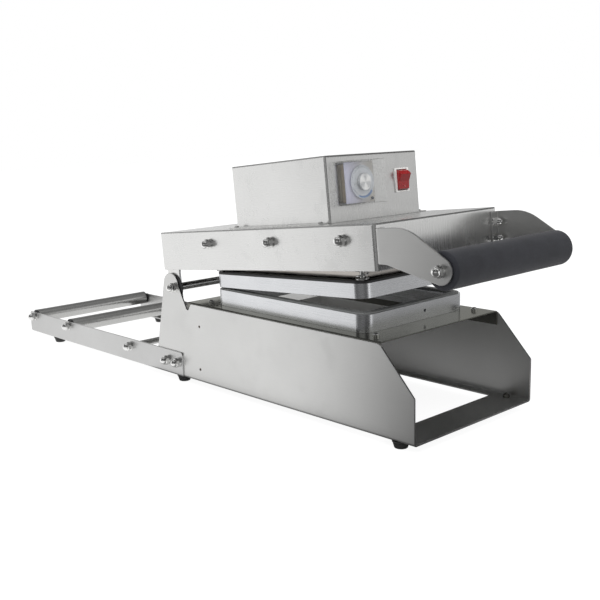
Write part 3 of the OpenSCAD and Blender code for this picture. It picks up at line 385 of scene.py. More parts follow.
def brushed_steel(name, dark, light, rough, tilt=0.0, depth=0.014, end_shade=1.0, tint=None):
    """Sheet steel, brushed along the machine and upright on the faces at its ends."""
    f = Finish(name, Metallic=1.0)
    along = f.noise((GRAIN_WIDTH, GRAIN_LENGTH, GRAIN_WIDTH), tilt=tilt)
    upright = f.noise((GRAIN_WIDTH, GRAIN_WIDTH, GRAIN_LENGTH), tilt=tilt)
    streak = mix_number(f.tree, f.facing("Y"), along, upright)
    cloud = f.noise(CLOUD_SIZE, detail=4.0, roughness=0.55, tilt=tilt)
    smudge = f.noise(SMUDGE_SIZE, detail=5.0, tilt=tilt)
    grain_part = math_node(f.tree, "MULTIPLY", streak, GRAIN_SHARE)
    cloud_part = math_node(f.tree, "MULTIPLY", cloud, 1 - GRAIN_SHARE)
    tone = remap(f.tree, math_node(f.tree, "ADD", grain_part, cloud_part), *SHEET_RANGE, 0.0, 1.0)
    # Painted shade: where asked, the colour is darkened on the faces at the machine's ends
    f.set("Base Color", f.ends_painted_darker(mix_colour(f.tree, tone, rgb(*dark), rgb(*light)), end_shade))
    if tint:
        f.set("Specular Tint", rgb(*tint))
    grain_rough = f.stretched(streak, rough - GRAIN_SPREAD, rough + GRAIN_SPREAD)
    smudge_rough = remap(f.tree, smudge, *SMUDGE_RANGE, 0.0, SMUDGE_ROUGH, smooth=True)
    f.set("Roughness", math_node(f.tree, "ADD", grain_rough, smudge_rough))
    f.bump(streak, strength=depth, distance=GRAIN_DEPTH, edge=SHEET_EDGE)


# Polished metal: its grain is a share of its patches' size, and its roughness spreads by shares
POLISH_GRAIN = 0.03
POLISH_SPREAD = (0.75, 1.35)
POLISH_EDGE = 0.0003


def polished_metal(name, dark, light, rough, size=0.012):
    """Turned or polished metal with faint uneven patches."""
    f = Finish(name, Metallic=1.0)
    cloud = f.noise(size, detail=4.0)
    fine = f.noise(size * POLISH_GRAIN, detail=2.0, roughness=0.5)
    f.set("Base Color", mix_colour(f.tree, f.stretched(cloud), rgb(*dark), rgb(*light)))
    f.set("Roughness", f.stretched(cloud, *(rough * share for share in POLISH_SPREAD)))
    f.bump(fine, strength=0.02, distance=SKIN_DEPTH, edge=POLISH_EDGE)


# Machined metal: flat, fine lines in layers
TOOL_LINES = (0.05, 0.05, 0.0005)
TOOL_CLOUD = 0.07
TOOL_SPREAD = 0.04
TOOL_EDGE = 0.0006


def machined_aluminium(name, dark, light, rough, tilt=0.0, end_shade=1.0):
    """Satin aluminium with fine level tool lines round its walls."""
    f = Finish(name, Metallic=1.0)
    lines = f.noise(TOOL_LINES, roughness=0.5, tilt=tilt)
    cloud = f.noise(TOOL_CLOUD, roughness=0.5, tilt=tilt)
    colour = mix_colour(f.tree, f.stretched(cloud), rgb(*dark), rgb(*light))
    # Painted shade: where asked, the colour is darkened on the faces at the machine's ends
    f.set("Base Color", f.ends_painted_darker(colour, end_shade))
    f.set("Roughness", f.stretched(lines, rough - TOOL_SPREAD, rough + TOOL_SPREAD))
    f.bump(lines, strength=0.006, distance=GRAIN_DEPTH, edge=TOOL_EDGE)


# Moulded plastic and rubber
MOULD_CLOUD = 0.03
MOULD_SPREAD = (0.88, 1.12)


def moulded(name, dark, light, rough, grain=0.0006, depth=0.08, edge=0.0004, **inputs):
    """Moulded plastic or rubber: an even colour with a fine surface grain."""
    f = Finish(name, **inputs)
    cloud = f.noise(MOULD_CLOUD, roughness=0.5)
    fine = f.noise(grain)
    f.set("Base Color", mix_colour(f.tree, cloud, rgb(*dark), rgb(*light)))
    f.set("Roughness", f.stretched(fine, *(rough * share for share in MOULD_SPREAD)))
    f.bump(fine, strength=depth, distance=SKIN_DEPTH, edge=edge)


# Foam: cells, broad patches and paler worn streaks along the grip
FOAM_CELL = 0.0009
FOAM_PATCH = 0.03
FOAM_WEAR = (0.02, 0.006, 0.006)
WEAR_RANGE = (0.55, 0.8)
WEAR_SHARE = 0.35
CELL_RANGE = (0.0, 0.8)
FOAM_ROUGH = (0.62, 0.8)


def foam(name):
    """Closed-cell foam: fine cells under a slightly worn skin."""
    f = Finish(name, Sheen_Weight=0.15, Sheen_Roughness=0.4, Specular_IOR_Level=0.35)
    cells = f.cells(FOAM_CELL)
    patch = f.stretched(f.noise(FOAM_PATCH, detail=4.0))
    worn = remap(f.tree, f.noise(FOAM_WEAR, detail=4.0), *WEAR_RANGE, 0.0, WEAR_SHARE)
    skin = mix_colour(f.tree, patch, rgb(0.019, 0.02, 0.025), rgb(0.028, 0.029, 0.036))
    f.set("Base Color", mix_colour(f.tree, worn, skin, rgb(0.042, 0.043, 0.051)))
    f.set("Roughness", remap(f.tree, cells, *CELL_RANGE, *FOAM_ROUGH))
    f.bump(cells, strength=0.22, distance=GRAIN_DEPTH)


# Clear plastic: a pane that is clearest where it is seen square on and turns pale at a slant as a painted
# reflection, and denser walls with painted dark shade
WIPE_MARKS = (0.03, 0.03, 0.004)
WIPE_RANGE = (0.4, 0.7)
WIPE_ROUGH = (0.03, 0.09)
SLANT_RANGE = (0.1, 0.9)
PANE_ALPHA = (0.05, 0.3)
WALL_ALPHA = 0.6


def clear_plastic(name):
    """Clear polycarbonate with faint wipe marks, with painted dark shade in its top and bottom walls and a
    painted reflection where its pane is seen at a slant.
    """
    f = Finish(name, IOR=1.5)
    wipe = f.noise(WIPE_MARKS, detail=4.0, tilt=-HEAD_TILT)
    painted_reflection_slant = f.add("LayerWeight", {"Blend": 0.3}).outputs["Facing"]
    level = f.facing("Z")
    pane = mix_colour(f.tree, wipe, rgb(0.74, 0.75, 0.74), rgb(0.84, 0.85, 0.84))
    # Painted shade: the top and bottom walls are coloured dark grey
    f.set("Base Color", mix_colour(f.tree, level, pane, rgb(0.2, 0.2, 0.19)))
    f.set("Roughness", remap(f.tree, wipe, *WIPE_RANGE, *WIPE_ROUGH))
    # Painted reflection: the pale pane grows more opaque where it is seen at a slant
    alpha = remap(f.tree, painted_reflection_slant, *SLANT_RANGE, *PANE_ALPHA)
    f.set("Alpha", mix_number(f.tree, level, alpha, WALL_ALPHA))
    f.bump(wipe, strength=0.02, distance=GRAIN_DEPTH)


# Dial parts
FINE_GRAIN = 0.0008
FINE_EDGE = 0.0003


def fading_plate(name, left, right, node):
    """Anodised plate whose tint fades from one colour at the node's left to another at its right."""
    low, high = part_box(node)
    centre = (low.x + high.x) / 2
    reach = (high.x - low.x) / 2
    f = Finish(name, Metallic=0.25)
    across = f.add("SeparateXYZ", {0: f.place}).outputs["X"]
    fade = remap(f.tree, across, centre - reach, centre + reach, 0.0, 1.0, smooth=True)
    fine = f.noise(FINE_GRAIN, tilt=-HEAD_TILT)
    f.set("Base Color", mix_colour(f.tree, fade, rgb(*left), rgb(*right)))
    f.set("Roughness", f.stretched(fine, 0.3, 0.42))
    f.bump(fine, strength=0.03, distance=SKIN_DEPTH, edge=FINE_EDGE)


KNOB_FANS = 3.0
KNOB_RING = 0.0005
KNOB_ROUGH = (0.2, 0.34)
DISC_ROUGH = 0.28
SINE_RANGE = (-1.0, 1.0)


def dial_disc(name, matrix, knob_radius):
    """Pale plastic disc with a spun metal knob in its middle, whose colour has lighter and darker fans
    painted in as the highlights of spun metal.
    """
    f = Finish(name)
    inputs = {"Vector": f.place, "Location": matrix.to_translation(), "Rotation": matrix.to_euler()}
    local = f.add("Mapping", inputs, vector_type="TEXTURE").outputs["Vector"]
    level = f.add("VectorMath", {0: local, 1: (1, 1, 0)}, operation="MULTIPLY").outputs["Vector"]
    radius = f.add("VectorMath", {0: level}, operation="LENGTH").outputs["Value"]
    inside = math_node(f.tree, "LESS_THAN", radius, knob_radius)
    rings = math_node(f.tree, "SINE", math_node(f.tree, "MULTIPLY", radius, 2 * math.pi / KNOB_RING))
    parts = f.add("SeparateXYZ", {0: local}).outputs
    angle = math_node(f.tree, "ARCTAN2", parts["Y"], parts["X"])
    # Painted highlight: the fans stand in for the glints that spun metal shows
    fans = math_node(f.tree, "SINE", math_node(f.tree, "MULTIPLY", angle, KNOB_FANS))
    painted_fan_highlight = remap(f.tree, fans, *SINE_RANGE, 0.0, 1.0)
    metal = mix_colour(f.tree, painted_fan_highlight, rgb(0.55, 0.56, 0.57), rgb(0.97, 0.97, 0.96))
    f.set("Metallic", inside)
    f.set("Base Color", mix_colour(f.tree, inside, rgb(0.62, 0.65, 0.69), metal))
    knob_rough = remap(f.tree, rings, *SINE_RANGE, *KNOB_ROUGH)
    f.set("Roughness", mix_number(f.tree, inside, DISC_ROUGH, knob_rough))
    fine = f.noise(FINE_GRAIN, detail=2.0, roughness=0.5)
    f.bump(fine, strength=0.02, distance=SKIN_DEPTH, edge=FINE_EDGE)


TINT_GRAIN = 0.0012
TINT_LIFT = 1.06
TINT_ROUGH = (0.16, 0.24)


def see_through(name, colour, alpha):
    """Thin tinted plastic that shows what lies behind it."""
    f = Finish(name, IOR=1.5)
    fine = f.noise(TINT_GRAIN, detail=2.0, roughness=0.5)
    lighter = [min(1.0, TINT_LIFT * part) for part in colour]
    f.set("Base Color", mix_colour(f.tree, fine, rgb(*colour), rgb(*lighter)))
    f.set("Roughness", f.stretched(fine, *TINT_ROUGH))
    f.set("Alpha", alpha)


# Most finishes have a dark and a light colour and their roughness, then what sets them apart
STEEL = ((0.7, 0.7, 0.69), (0.76, 0.76, 0.75))
BRIGHT_SHEET = ((0.8, 0.8, 0.79), (0.85, 0.85, 0.84))
SOFT_SHEET = ((0.6, 0.6, 0.595), (0.67, 0.67, 0.665))
ALUMINIUM = ((0.74, 0.75, 0.77), (0.82, 0.83, 0.85))
SMOOTH_SHEET = 0.007


def make_finishes():
    on_head = {"tilt": -HEAD_TILT, "depth": SMOOTH_SHEET}
    # Where a finish's ends are darkened below, that is painted shade on the faces at the machine's ends
    brushed_steel("base_sheet", *STEEL, 0.34, end_shade=0.25)
    brushed_steel("rail_sheet", *SOFT_SHEET, 0.34)
    brushed_steel("head_sheet", *BRIGHT_SHEET, 0.26, end_shade=0.92, **on_head)
    brushed_steel("box_sheet", *BRIGHT_SHEET, 0.26, end_shade=0.7, **on_head)
    brushed_steel("bracket_sheet", *STEEL, 0.34, **on_head)
    # The deck's near-black colour is painted shade: the deck under the head is darkened as if in shadow,
    # and the foot screws share it
    brushed_steel("deck_steel", (0.17, 0.17, 0.155), (0.22, 0.22, 0.2), 0.14, tint=(0.74, 0.74, 0.71))
    polished_metal("bright_steel", (0.62, 0.62, 0.61), (0.78, 0.78, 0.77), 0.16)
    polished_metal("nut_steel", (0.86, 0.86, 0.85), (0.96, 0.96, 0.95), 0.09, size=0.004)
    brushed_steel("tube_steel", (0.5, 0.5, 0.49), (0.57, 0.57, 0.56), 0.28)
    polished_metal("spring_steel", (0.6, 0.6, 0.6), (0.8, 0.8, 0.8), 0.14, size=0.003)
    polished_metal("dark_steel", (0.12, 0.1, 0.09), (0.3, 0.24, 0.19), 0.4)
    polished_metal("heat_cover", (0.46, 0.43, 0.4), (0.56, 0.53, 0.5), 0.16, size=0.05)
    machined_aluminium("die_aluminium", *ALUMINIUM, 0.26, end_shade=0.82)
    machined_aluminium("frame_aluminium", *ALUMINIUM, 0.26, tilt=FLOAT_TILT - HEAD_TILT)
    moulded("gasket_rubber", (0.16, 0.165, 0.165), (0.24, 0.245, 0.24), 0.7, grain=0.0008)
    moulded("black_rubber", (0.018, 0.018, 0.018), (0.03, 0.03, 0.03), 0.6, grain=0.0008)
    moulded("black_plastic", (0.014, 0.014, 0.015), (0.024, 0.024, 0.026), 0.42)
    foam("grip_foam")
    moulded("insulation", (0.6, 0.57, 0.5), (0.74, 0.71, 0.64), 0.85, grain=0.0012, depth=0.3, edge=0.0)
    moulded("thermostat_brown", (0.13, 0.1, 0.06), (0.2, 0.155, 0.1), 0.5, grain=0.0008)
    moulded("switch_white", (0.93, 0.92, 0.9), (0.96, 0.95, 0.93), 0.3, depth=0.03)
    moulded("rocker_red", (0.33, 0.004, 0.007), (0.42, 0.008, 0.01), 0.16, depth=0.02,
        Coat_Weight=0.6, Coat_Roughness=0.06, Transmission_Weight=0.1)
    moulded("rocker_mark", (0.62, 0.2, 0.2), (0.7, 0.27, 0.26), 0.4, depth=0.02)
    fading_plate("dial_plate", (0.56, 0.56, 0.7), (0.5, 0.48, 0.44), "dial_plate")
    dial_disc("dial_disc", dial_place(), KNOB_R)
    see_through("dial_skirt", (0.74, 0.78, 0.83), 0.6)
    moulded("dial_blue", (0.1, 0.2, 0.42), (0.15, 0.27, 0.5), 0.4, depth=0.02)
    moulded("dial_ink", (0.14, 0.16, 0.2), (0.2, 0.22, 0.26), 0.5, depth=0.02)
    moulded("lamp_lens", (0.05, 0.06, 0.08), (0.09, 0.1, 0.13), 0.15, depth=0.01)
    clear_plastic("clear_cover")


# Mesh tools: a piece is made in bmesh at its place in the scene, then rides its body
SEGMENTS = 48
WIRE_SIDES = 10
MERGE = 1e-6


def new_piece(name, bm, material, body, smooth=True):
    mesh = bpy.data.meshes.new(name)
    bmesh.ops.recalc_face_normals(bm, faces=bm.faces)
    bm.to_mesh(mesh)
    bm.free()
    for face in mesh.polygons:
        face.use_smooth = smooth
    mesh.materials.append(finishes[material])
    piece = bpy.data.objects.new(name, mesh)
    scene.collection.objects.link(piece)
    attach(piece, body)
    return piece


def crease(piece, angle):
    """Edges sharper than the angle stay sharp in smooth shading."""
    piece.data.set_sharp_from_angle(angle=math.radians(angle))


def bridge(bm, rings, closed=True):
    count = len(rings[0])
    for a, b in zip(rings, rings[1:]):
        for i in range(count if closed else count - 1):
            j = (i + 1) % count
            bm.faces.new((a[i], a[j], b[j], b[i]))


def cap(bm, ring, centre):
    middle_vert = bm.verts.new(centre)
    for i, vert in enumerate(ring):
        bm.faces.new((vert, ring[(i + 1) % len(ring)], middle_vert))


def turned(bm, rows, matrix, segments=SEGMENTS, flats=None, closed=True):
    """A lathe form on Z from (height, radius) rows; flats is the width over a hexagon's flats."""
    rings = []
    for height, radius in rows:
        ring = []
        for i in range(segments):
            angle = 2 * math.pi * i / segments
            reach = radius
            if flats:
                off = (angle + math.pi / 6) % (math.pi / 3) - math.pi / 6
                reach = min(radius, flats / 2 / math.cos(off))
            point = Vector((reach * math.cos(angle), reach * math.sin(angle), height))
            ring.append(bm.verts.new(matrix @ point))
        rings.append(ring)
    bridge(bm, rings)
    if closed:
        cap(bm, rings[0], matrix @ Vector((0, 0, rows[0][0])))
        cap(bm, rings[-1], matrix @ Vector((0, 0, rows[-1][0])))


def tube(bm, path, radius):
    """A round wire along a path, with closed ends."""
    rings = []
    for i, point in enumerate(path):
        ahead = path[min(i + 1, len(path) - 1)] - path[max(i - 1, 0)]
        across = ahead.cross(Vector((0, 0, 1))).normalized()
        upward = across.cross(ahead).normalized()
        ring = []
        for k in range(WIRE_SIDES):
            angle = 2 * math.pi * k / WIRE_SIDES
            ray = math.cos(angle) * across + math.sin(angle) * upward
            ring.append(bm.verts.new(point + radius * ray))
        rings.append(ring)
    bridge(bm, rings)
    cap(bm, rings[0], path[0])
    cap(bm, rings[-1], path[-1])


def solids(name):
    """The separate solids of a CAD node, each as a list of its points."""
    bm = bmesh.new()
    bm.from_mesh(nodes[name].data)
    bmesh.ops.remove_doubles(bm, verts=bm.verts, dist=MERGE)
    groups = []
    seen = set()
    for start in bm.verts:
        if start in seen:
            continue
        group = []
        queue = [start]
        seen.add(start)
        while queue:
            vert = queue.pop()
            group.append(vert.co.copy())
            for edge in vert.link_edges:
                other = edge.other_vert(vert)
                if other not in seen:
                    seen.add(other)
                    queue.append(other)
        groups.append(group)
    bm.free()
    return groups


def corners_of(points):
    """The lowest and the highest corner of the box round some points."""
    low = Vector(min(p[k] for p in points) for k in range(3))
    high = Vector(max(p[k] for p in points) for k in range(3))
    return low, high


def middle(points):
    low, high = corners_of(points)
    return (low + high) / 2


# Cap nuts and washers: a chamfered hexagon with a polished dome, and a bevelled ring. Both sit where
# the solids do, and are larger at the machine's sides than on the brackets' tabs
SIDE_FLATS = 13 * MM
TAB_FLATS = 10 * MM
FLATS_EASE = 0.05 * MM
NUT_HEIGHT = 12 * MM
NUT_DOME = 0.46
NUT_CREASE = 32
DOME_STEPS = 10
SIDE_WASHER_R = 7.4 * MM
TAB_WASHER_R = 6 * MM
WASHER_BORE = 3.2 * MM
WASHER_BEVEL = 0.2 * MM

# Heights in mm with shares of the corner's reach, then with what is added to the dome's radius in mm
NUT_CHAMFER = [(0.0, 0.82), (0.2, 0.88), (0.42, 0.945), (0.62, 1.0)]
NUT_NECK = [(0.0, 0.05), (0.25, -0.15), (0.55, 0.0)]
NUT_NECK_HEIGHT = 0.6 * MM


def nut_rows(flats):
    corner = flats / 2 / math.cos(math.pi / 6)
    dome = NUT_DOME * flats
    hexagon = NUT_HEIGHT - dome - NUT_NECK_HEIGHT
    rows = [(z * MM, share * corner) for z, share in NUT_CHAMFER]
    rows += [(hexagon - z, r) for z, r in reversed(rows)]
    rows += [(hexagon + z * MM, dome + more * MM) for z, more in NUT_NECK]
    for i in range(DOME_STEPS):
        angle = math.pi / 2 * i / DOME_STEPS
        rows.append((NUT_HEIGHT - dome + dome * math.sin(angle), dome * math.cos(angle)))
    return rows


def seat(points, longest):
    """Where a nut or a washer sits: a matrix with Z outwards, its height, and whether it is on a tab.

    A nut's axis is its longest side, a washer's its shortest. The head's frame does for the nuts on
    the base too, because it is only turned about X.
    """
    inverse = HEAD.inverted()
    low, high = corners_of([inverse @ p for p in points])
    size = high - low
    place = (low + high) / 2
    on_tab = (size.y > size.x) == longest
    axis = Vector((0, -1, 0)) if on_tab else Vector((math.copysign(1, place.x), 0, 0))
    height = size.y if on_tab else size.x
    turn = axis.to_track_quat("Z", "Y").to_matrix().to_4x4()
    return HEAD @ Matrix.Translation(place - axis * height / 2) @ turn, height, on_tab


def cap_nuts(name, body):
    bm = bmesh.new()
    for points in solids(name):
        matrix, _, on_tab = seat(points, longest=True)
        flats = TAB_FLATS if on_tab else SIDE_FLATS
        turned(bm, nut_rows(flats), matrix, flats=flats - FLATS_EASE)
    piece = new_piece(name + "_detail", bm, "nut_steel", body)
    crease(piece, NUT_CREASE)
    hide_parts(name)


def washers(name, body):
    bm = bmesh.new()
    for points in solids(name):
        matrix, height, on_tab = seat(points, longest=False)
        outer = TAB_WASHER_R if on_tab else SIDE_WASHER_R
        rows = [
            (0.0, WASHER_BORE), (0.0, outer - WASHER_BEVEL), (WASHER_BEVEL, outer),
            (height - WASHER_BEVEL, outer), (height, outer - WASHER_BEVEL), (height, WASHER_BORE),
            (0.0, WASHER_BORE),
        ]
        turned(bm, rows, matrix, closed=False)
    piece = new_piece(name + "_detail", bm, "nut_steel", body)
    crease(piece, NUT_CREASE)
    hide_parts(name)


# Post springs: drawn wire coils with closed ends
SPRING_TURNS = 7
SPRING_STEPS = 32
SPRING_R = 7.9 * MM
WIRE_R = 1.0 * MM
CLOSED_GAP = 0.25 * MM


def spring_path(place, length):
    end_pitch = 2 * WIRE_R + CLOSED_GAP
    rise = length - 2 * WIRE_R
    path = []
    for i in range(SPRING_TURNS * SPRING_STEPS + 1):
        t = i / SPRING_STEPS
        if t < 1:
            z = t * end_pitch
        elif t > SPRING_TURNS - 1:
            z = rise - (SPRING_TURNS - t) * end_pitch
        else:
            z = end_pitch + (t - 1) * (rise - 2 * end_pitch) / (SPRING_TURNS - 2)
        angle = 2 * math.pi * t
        offset = Vector((SPRING_R * math.cos(angle), SPRING_R * math.sin(angle), z + WIRE_R))
        path.append(CLAMP @ (place + offset))
    return path


def post_springs():
    """A piece for each end of the frame, because the front springs close further than the rear ones."""
    inverse = CLAMP.inverted()
    coils = [[inverse @ p for p in points] for points in solids("post_springs")]
    halfway = sum(middle(coil).y for coil in coils) / len(coils)
    ends = {
        "front": [coil for coil in coils if middle(coil).y < halfway],
        "rear": [coil for coil in coils if middle(coil).y > halfway],
    }
    for end, pair in ends.items():
        bm = bmesh.new()
        for coil in pair:
            low, high = corners_of(coil)
            centre = (low + high) / 2
            length = high.z - low.z
            tube(bm, spring_path(Vector((centre.x, centre.y, low.z)), length), WIRE_R)
        piece = new_piece(end + "_post_springs", bm, "spring_steel", "clamp")
        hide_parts("post_springs")
        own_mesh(piece)


# Foam grip: a soft sleeve with rounded ends that dip towards its bore, slightly uneven along its length
GRIP_BORE = 12.55 * MM
GRIP_EDGE = 2.6 * MM
GRIP_FACE = 1.5 * MM
GRIP_DIPS = [(0.6 * MM, 0.0), (0.15 * MM, 3 * MM)]
GRIP_SEGMENTS = 72
GRIP_STEPS = 46
EDGE_STEPS = 7
DENT_DEPTH = 0.22 * MM
DENT_SPAN = 28
DENT_LEVEL = 0.6
SKIN_BAND = 6 * MM


def foam_grip():
    low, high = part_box("foam_grip")
    centre = (low + high) / 2
    outer = (high.z - low.z) / 2
    half = (high.x - low.x) / 2
    rows = [(dip - half, GRIP_BORE + out) for dip, out in GRIP_DIPS]
    rows.append((-half, outer - GRIP_EDGE - GRIP_FACE))
    for i in range(1, EDGE_STEPS + 1):
        angle = math.pi / 2 * i / EDGE_STEPS
        reach = outer - GRIP_EDGE * (1 - math.sin(angle))
        rows.append((-half + GRIP_EDGE * (1 - math.cos(angle)), reach))
    start = rows[-1][0]
    sleeve = [(start - 2 * start * i / GRIP_STEPS, outer) for i in range(1, GRIP_STEPS)]
    rows = rows + sleeve + [(-x, r) for x, r in reversed(rows)]
    bm = bmesh.new()
    matrix = Matrix.Translation(centre) @ Matrix.Rotation(math.pi / 2, 4, "Y")
    turned(bm, rows, matrix, GRIP_SEGMENTS, closed=False)
    for vert in bm.verts:
        out = Vector((0, vert.co.y - centre.y, vert.co.z - centre.z))
        if out.length > outer - SKIN_BAND:
            dent = DENT_DEPTH * (noise.noise(vert.co * DENT_SPAN) - DENT_LEVEL)
            vert.co += out.normalized() * dent
    piece = new_piece("foam_grip_soft", bm, "grip_foam", "head")
    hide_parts("foam_grip")


# Feet: moulded rubber with a rounded tip and a flange at the top, as heights and radii in mm
FOOT_CREASE = 50
FOOT_PROFILE = [
    (0.0, 5.2), (0.0, 7.6), (0.15, 8.1), (0.5, 8.5), (1.1, 8.75), (6.6, 10.4), (7.6, 10.75), (7.9, 11.2),
    (8.3, 11.45), (9.6, 11.45), (10.0, 11.2),
]


def rubber_feet(name):
    bm = bmesh.new()
    rows = [(z * MM, r * MM) for z, r in FOOT_PROFILE]
    for points in solids(name):
        place = middle(points)
        turned(bm, rows, Matrix.Translation((place.x, place.y, 0)), closed=False)
    piece = new_piece(name + "_moulded", bm, "black_rubber", "base")
    crease(piece, FOOT_CREASE)
    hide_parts(name)


# Dial: a clear skirt round the disc with a scale, plain numbers and a blue arc, all turning with the
# knob. Angles are in degrees from the right, against the clock, and heights are from the disc's face.
# A tick has a length and a spread in degrees
DIAL_R = 18.5 * MM
DIAL_RIM = 1 * MM
KNOB_R = 11.3 * MM
SKIRT_R = 22.4 * MM
SKIRT_GAP = 0.05 * MM
SKIRT_BACK = -0.9 * MM
SKIRT_FRONT = -0.2 * MM
SKIRT_BEVEL = 0.2 * MM
SKIRT_SEGMENTS = 96
SKIRT_CREASE = 40
ARC_STEPS = 24
BLUE_ARC = (-118, -36)
BLUE_R = 19.9 * MM
BLUE_WIDTHS = (1.4 * MM, 4.4 * MM)
BLUE_LIFT = -0.14 * MM
TICK_LIFT = -0.12 * MM
TICK_COUNT = 31
TICK_START = 215
TICK_STEP = 9
TICK_R = 20.6 * MM
LONG_EVERY = 6
LONG_TICK = (2.6 * MM, 1.6)
SHORT_TICK = (1.3 * MM, 0.9)
INK_LIFT = 0.06 * MM
INDEX_R = 15.2 * MM
INDEX_LENGTH = 4.2 * MM
INDEX_ARC = (187, 190)
NUMBERS = "123456"
NUMBER_R = 14.8 * MM
NUMBER_SIZE = 3.2 * MM


def dial_place():
    """A matrix on the disc's front face: X across, Y up, Z out of the panel."""
    inverse = HEAD.inverted()
    local = [inverse @ v.co for v in nodes["thermostat_knob"].data.vertices]
    centre = middle(local)
    rim = [p for p in local if Vector((p.x - centre.x, p.z - centre.z)).length > DIAL_R - DIAL_RIM]
    place = HEAD @ Matrix.Translation((centre.x, min(p.y for p in rim), centre.z))
    return place @ Matrix.Rotation(math.pi / 2, 4, "X")


def arc_band(bm, matrix, radius, widths, start, end, lift, steps=ARC_STEPS):
    """A flat band along an arc, as wide at each end as the two widths say."""
    inside = []
    outside = []
    for i in range(steps + 1):
        share = i / steps
        angle = math.radians(start + (end - start) * share)
        half = (widths[0] + (widths[1] - widths[0]) * share) / 2
        ray = Vector((math.cos(angle), math.sin(angle), 0))
        inside.append(bm.verts.new(matrix @ (ray * (radius - half) + Vector((0, 0, lift)))))
        outside.append(bm.verts.new(matrix @ (ray * (radius + half) + Vector((0, 0, lift)))))
    bridge(bm, [inside, outside], closed=False)


def dial_skirt(matrix):
    bm = bmesh.new()
    inner = DIAL_R + SKIRT_GAP
    rows = [
        (SKIRT_BACK, inner), (SKIRT_BACK, SKIRT_R - SKIRT_BEVEL), (SKIRT_BACK + SKIRT_BEVEL, SKIRT_R),
        (SKIRT_FRONT - SKIRT_BEVEL, SKIRT_R), (SKIRT_FRONT, SKIRT_R - SKIRT_BEVEL), (SKIRT_FRONT, inner),
        (SKIRT_BACK, inner),
    ]
    turned(bm, rows, matrix, SKIRT_SEGMENTS, closed=False)
    piece = new_piece("dial_skirt", bm, "dial_skirt", "knob_body")
    crease(piece, SKIRT_CREASE)


def dial_arc(matrix):
    bm = bmesh.new()
    arc_band(bm, matrix, BLUE_R, BLUE_WIDTHS, *BLUE_ARC, BLUE_LIFT)
    new_piece("dial_blue_arc", bm, "dial_blue", "knob_body", smooth=False)


def dial_ticks(matrix):
    """The ticks lie on the skirt as far as the blue arc, the index line on the disc."""
    bm = bmesh.new()
    for i in range(TICK_COUNT):
        angle = TICK_START - TICK_STEP * i
        length, spread = SHORT_TICK if i % LONG_EVERY else LONG_TICK
        if angle > BLUE_ARC[1]:
            span = (angle - spread / 2, angle + spread / 2)
            arc_band(bm, matrix, TICK_R, (length, length), *span, TICK_LIFT, 1)
    arc_band(bm, matrix, INDEX_R, (INDEX_LENGTH, INDEX_LENGTH), *INDEX_ARC, INK_LIFT, 1)
    new_piece("dial_ticks", bm, "dial_ink", "knob_body", smooth=False)


def dial_numbers(matrix):
    for i, label in enumerate(NUMBERS):
        angle = math.radians(TICK_START - TICK_STEP * LONG_EVERY * i)
        curve = bpy.data.curves.new("dial_number_" + label, "FONT")
        curve.body = label
        curve.size = NUMBER_SIZE
        curve.align_x = "CENTER"
        curve.align_y = "CENTER"
        curve.materials.append(finishes["dial_ink"])
        number = bpy.data.objects.new("dial_number_" + label, curve)
        spot = Vector((math.cos(angle), math.sin(angle), 0)) * NUMBER_R + Vector((0, 0, INK_LIFT))
        turn = Matrix.Rotation(angle - math.pi / 2, 4, "Z")
        number.matrix_world = matrix @ Matrix.Translation(spot) @ turn
        scene.collection.objects.link(number)
        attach(number, "knob_body")


# Rocker mark: a small ring moulded near the lower end of the rocker's face, which slopes from its
# middle to its ends
ROCKER_TILT = math.radians(14)
ROCKER_MIDDLE = 8.2 * MM
ROCKER_END = 10.6 * MM
ROCKER_HALF = 14.4 * MM
MARK_DOWN = 8.4 * MM
MARK_R = 2.1 * MM
MARK_WIDTH = 0.8 * MM
MARK_LIFT = 0.08 * MM
MARK_STEPS = 36


def rocker_mark():
    slope = math.atan2(ROCKER_END - ROCKER_MIDDLE, ROCKER_HALF)
    pin = Matrix.Translation(joints["rocker_tilt"]["pos_m"])
    rocker = pin @ Matrix.Rotation(ROCKER_TILT - HEAD_TILT, 4, "X")
    out = -ROCKER_MIDDLE - MARK_DOWN * math.tan(slope)
    place = rocker @ Matrix.Translation((0, out, -MARK_DOWN)) @ Matrix.Rotation(math.pi / 2 + slope, 4, "X")
    bm = bmesh.new()
    arc_band(bm, place, MARK_R, (MARK_WIDTH, MARK_WIDTH), 0, 360, MARK_LIFT, MARK_STEPS)
    new_piece("rocker_mark", bm, "rocker_mark", "rocker_body", smooth=False)


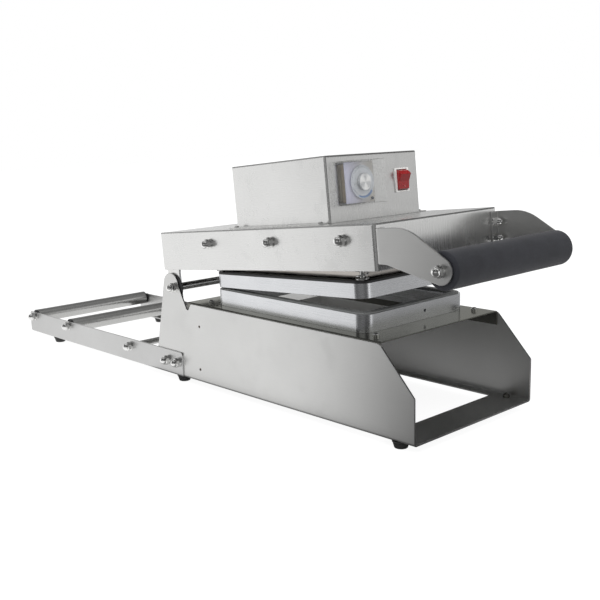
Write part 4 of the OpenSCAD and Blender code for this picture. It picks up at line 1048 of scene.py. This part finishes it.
# Finishes of the CAD nodes
CAD_FINISHES = {
    "base_sheet": ["base_shell"],
    "rail_sheet": ["rear_bulkhead", "left_rail", "right_rail"],
    "head_sheet": ["head_shell", "head_subframe", "left_hinge_arm", "right_hinge_arm"],
    "box_sheet": ["control_box"],
    "bracket_sheet": ["left_bracket", "right_bracket"],
    "deck_steel": ["deck_plate", "foot_screws"],
    "bright_steel": ["deck_studs", "rail_bolts", "rack_cap_nuts", "rack_washers", "pivot_shaft",
        "pivot_cap_nuts", "pivot_washers", "head_screws", "head_cap_nuts", "head_washers",
        "heater_standoffs", "heater_screws", "temperature_probe", "box_screws", "handle_bar",
        "spring_posts", "post_springs"],
    "tube_steel": ["front_axle", "rear_axle", "tie_rod", "front_roller", "rear_roller"],
    "dark_steel": ["bulkhead_screws", "heating_element"],
    "heat_cover": ["heater_cover"],
    "die_aluminium": ["lower_die", "heater_block"],
    "frame_aluminium": ["clamp_frame"],
    "gasket_rubber": ["lower_gasket"],
    "black_rubber": ["base_feet", "rail_feet"],
    "black_plastic": ["thrust_washers", "front_roller_bushes", "rear_roller_bushes", "insulating_ring",
        "cable_gland"],
    "thermostat_brown": ["thermostat_housing"],
    "grip_foam": ["foam_grip"],
    "insulation": ["heater_insulation", "thermal_cutout", "terminal_block"],
    "switch_white": ["switch_housing"],
    "rocker_red": ["rocker"],
    "dial_plate": ["dial_plate"],
    "dial_disc": ["thermostat_knob"],
    "lamp_lens": ["pilot_lamp"],
    "clear_cover": ["window_cover"],
}


def dress_cad_nodes():
    for finish, names in CAD_FINISHES.items():
        for name in names:
            mesh = nodes[name].data
            mesh.materials.clear()
            mesh.materials.append(finishes[finish])


make_camera()
make_world()
make_floor()
for lamp in LAMPS:
    make_lamp(*lamp)
make_finishes()
dress_cad_nodes()
cap_nuts("head_cap_nuts", "head")
cap_nuts("rack_cap_nuts", "base")
cap_nuts("pivot_cap_nuts", "hinge_shaft")
washers("head_washers", "head")
washers("rack_washers", "base")
washers("pivot_washers", "hinge_shaft")
post_springs()
foam_grip()
rubber_feet("base_feet")
rubber_feet("rail_feet")
dial = dial_place()
dial_skirt(dial)
dial_arc(dial)
dial_ticks(dial)
dial_numbers(dial)
rocker_mark()

scene.view_settings.view_transform = "Standard"
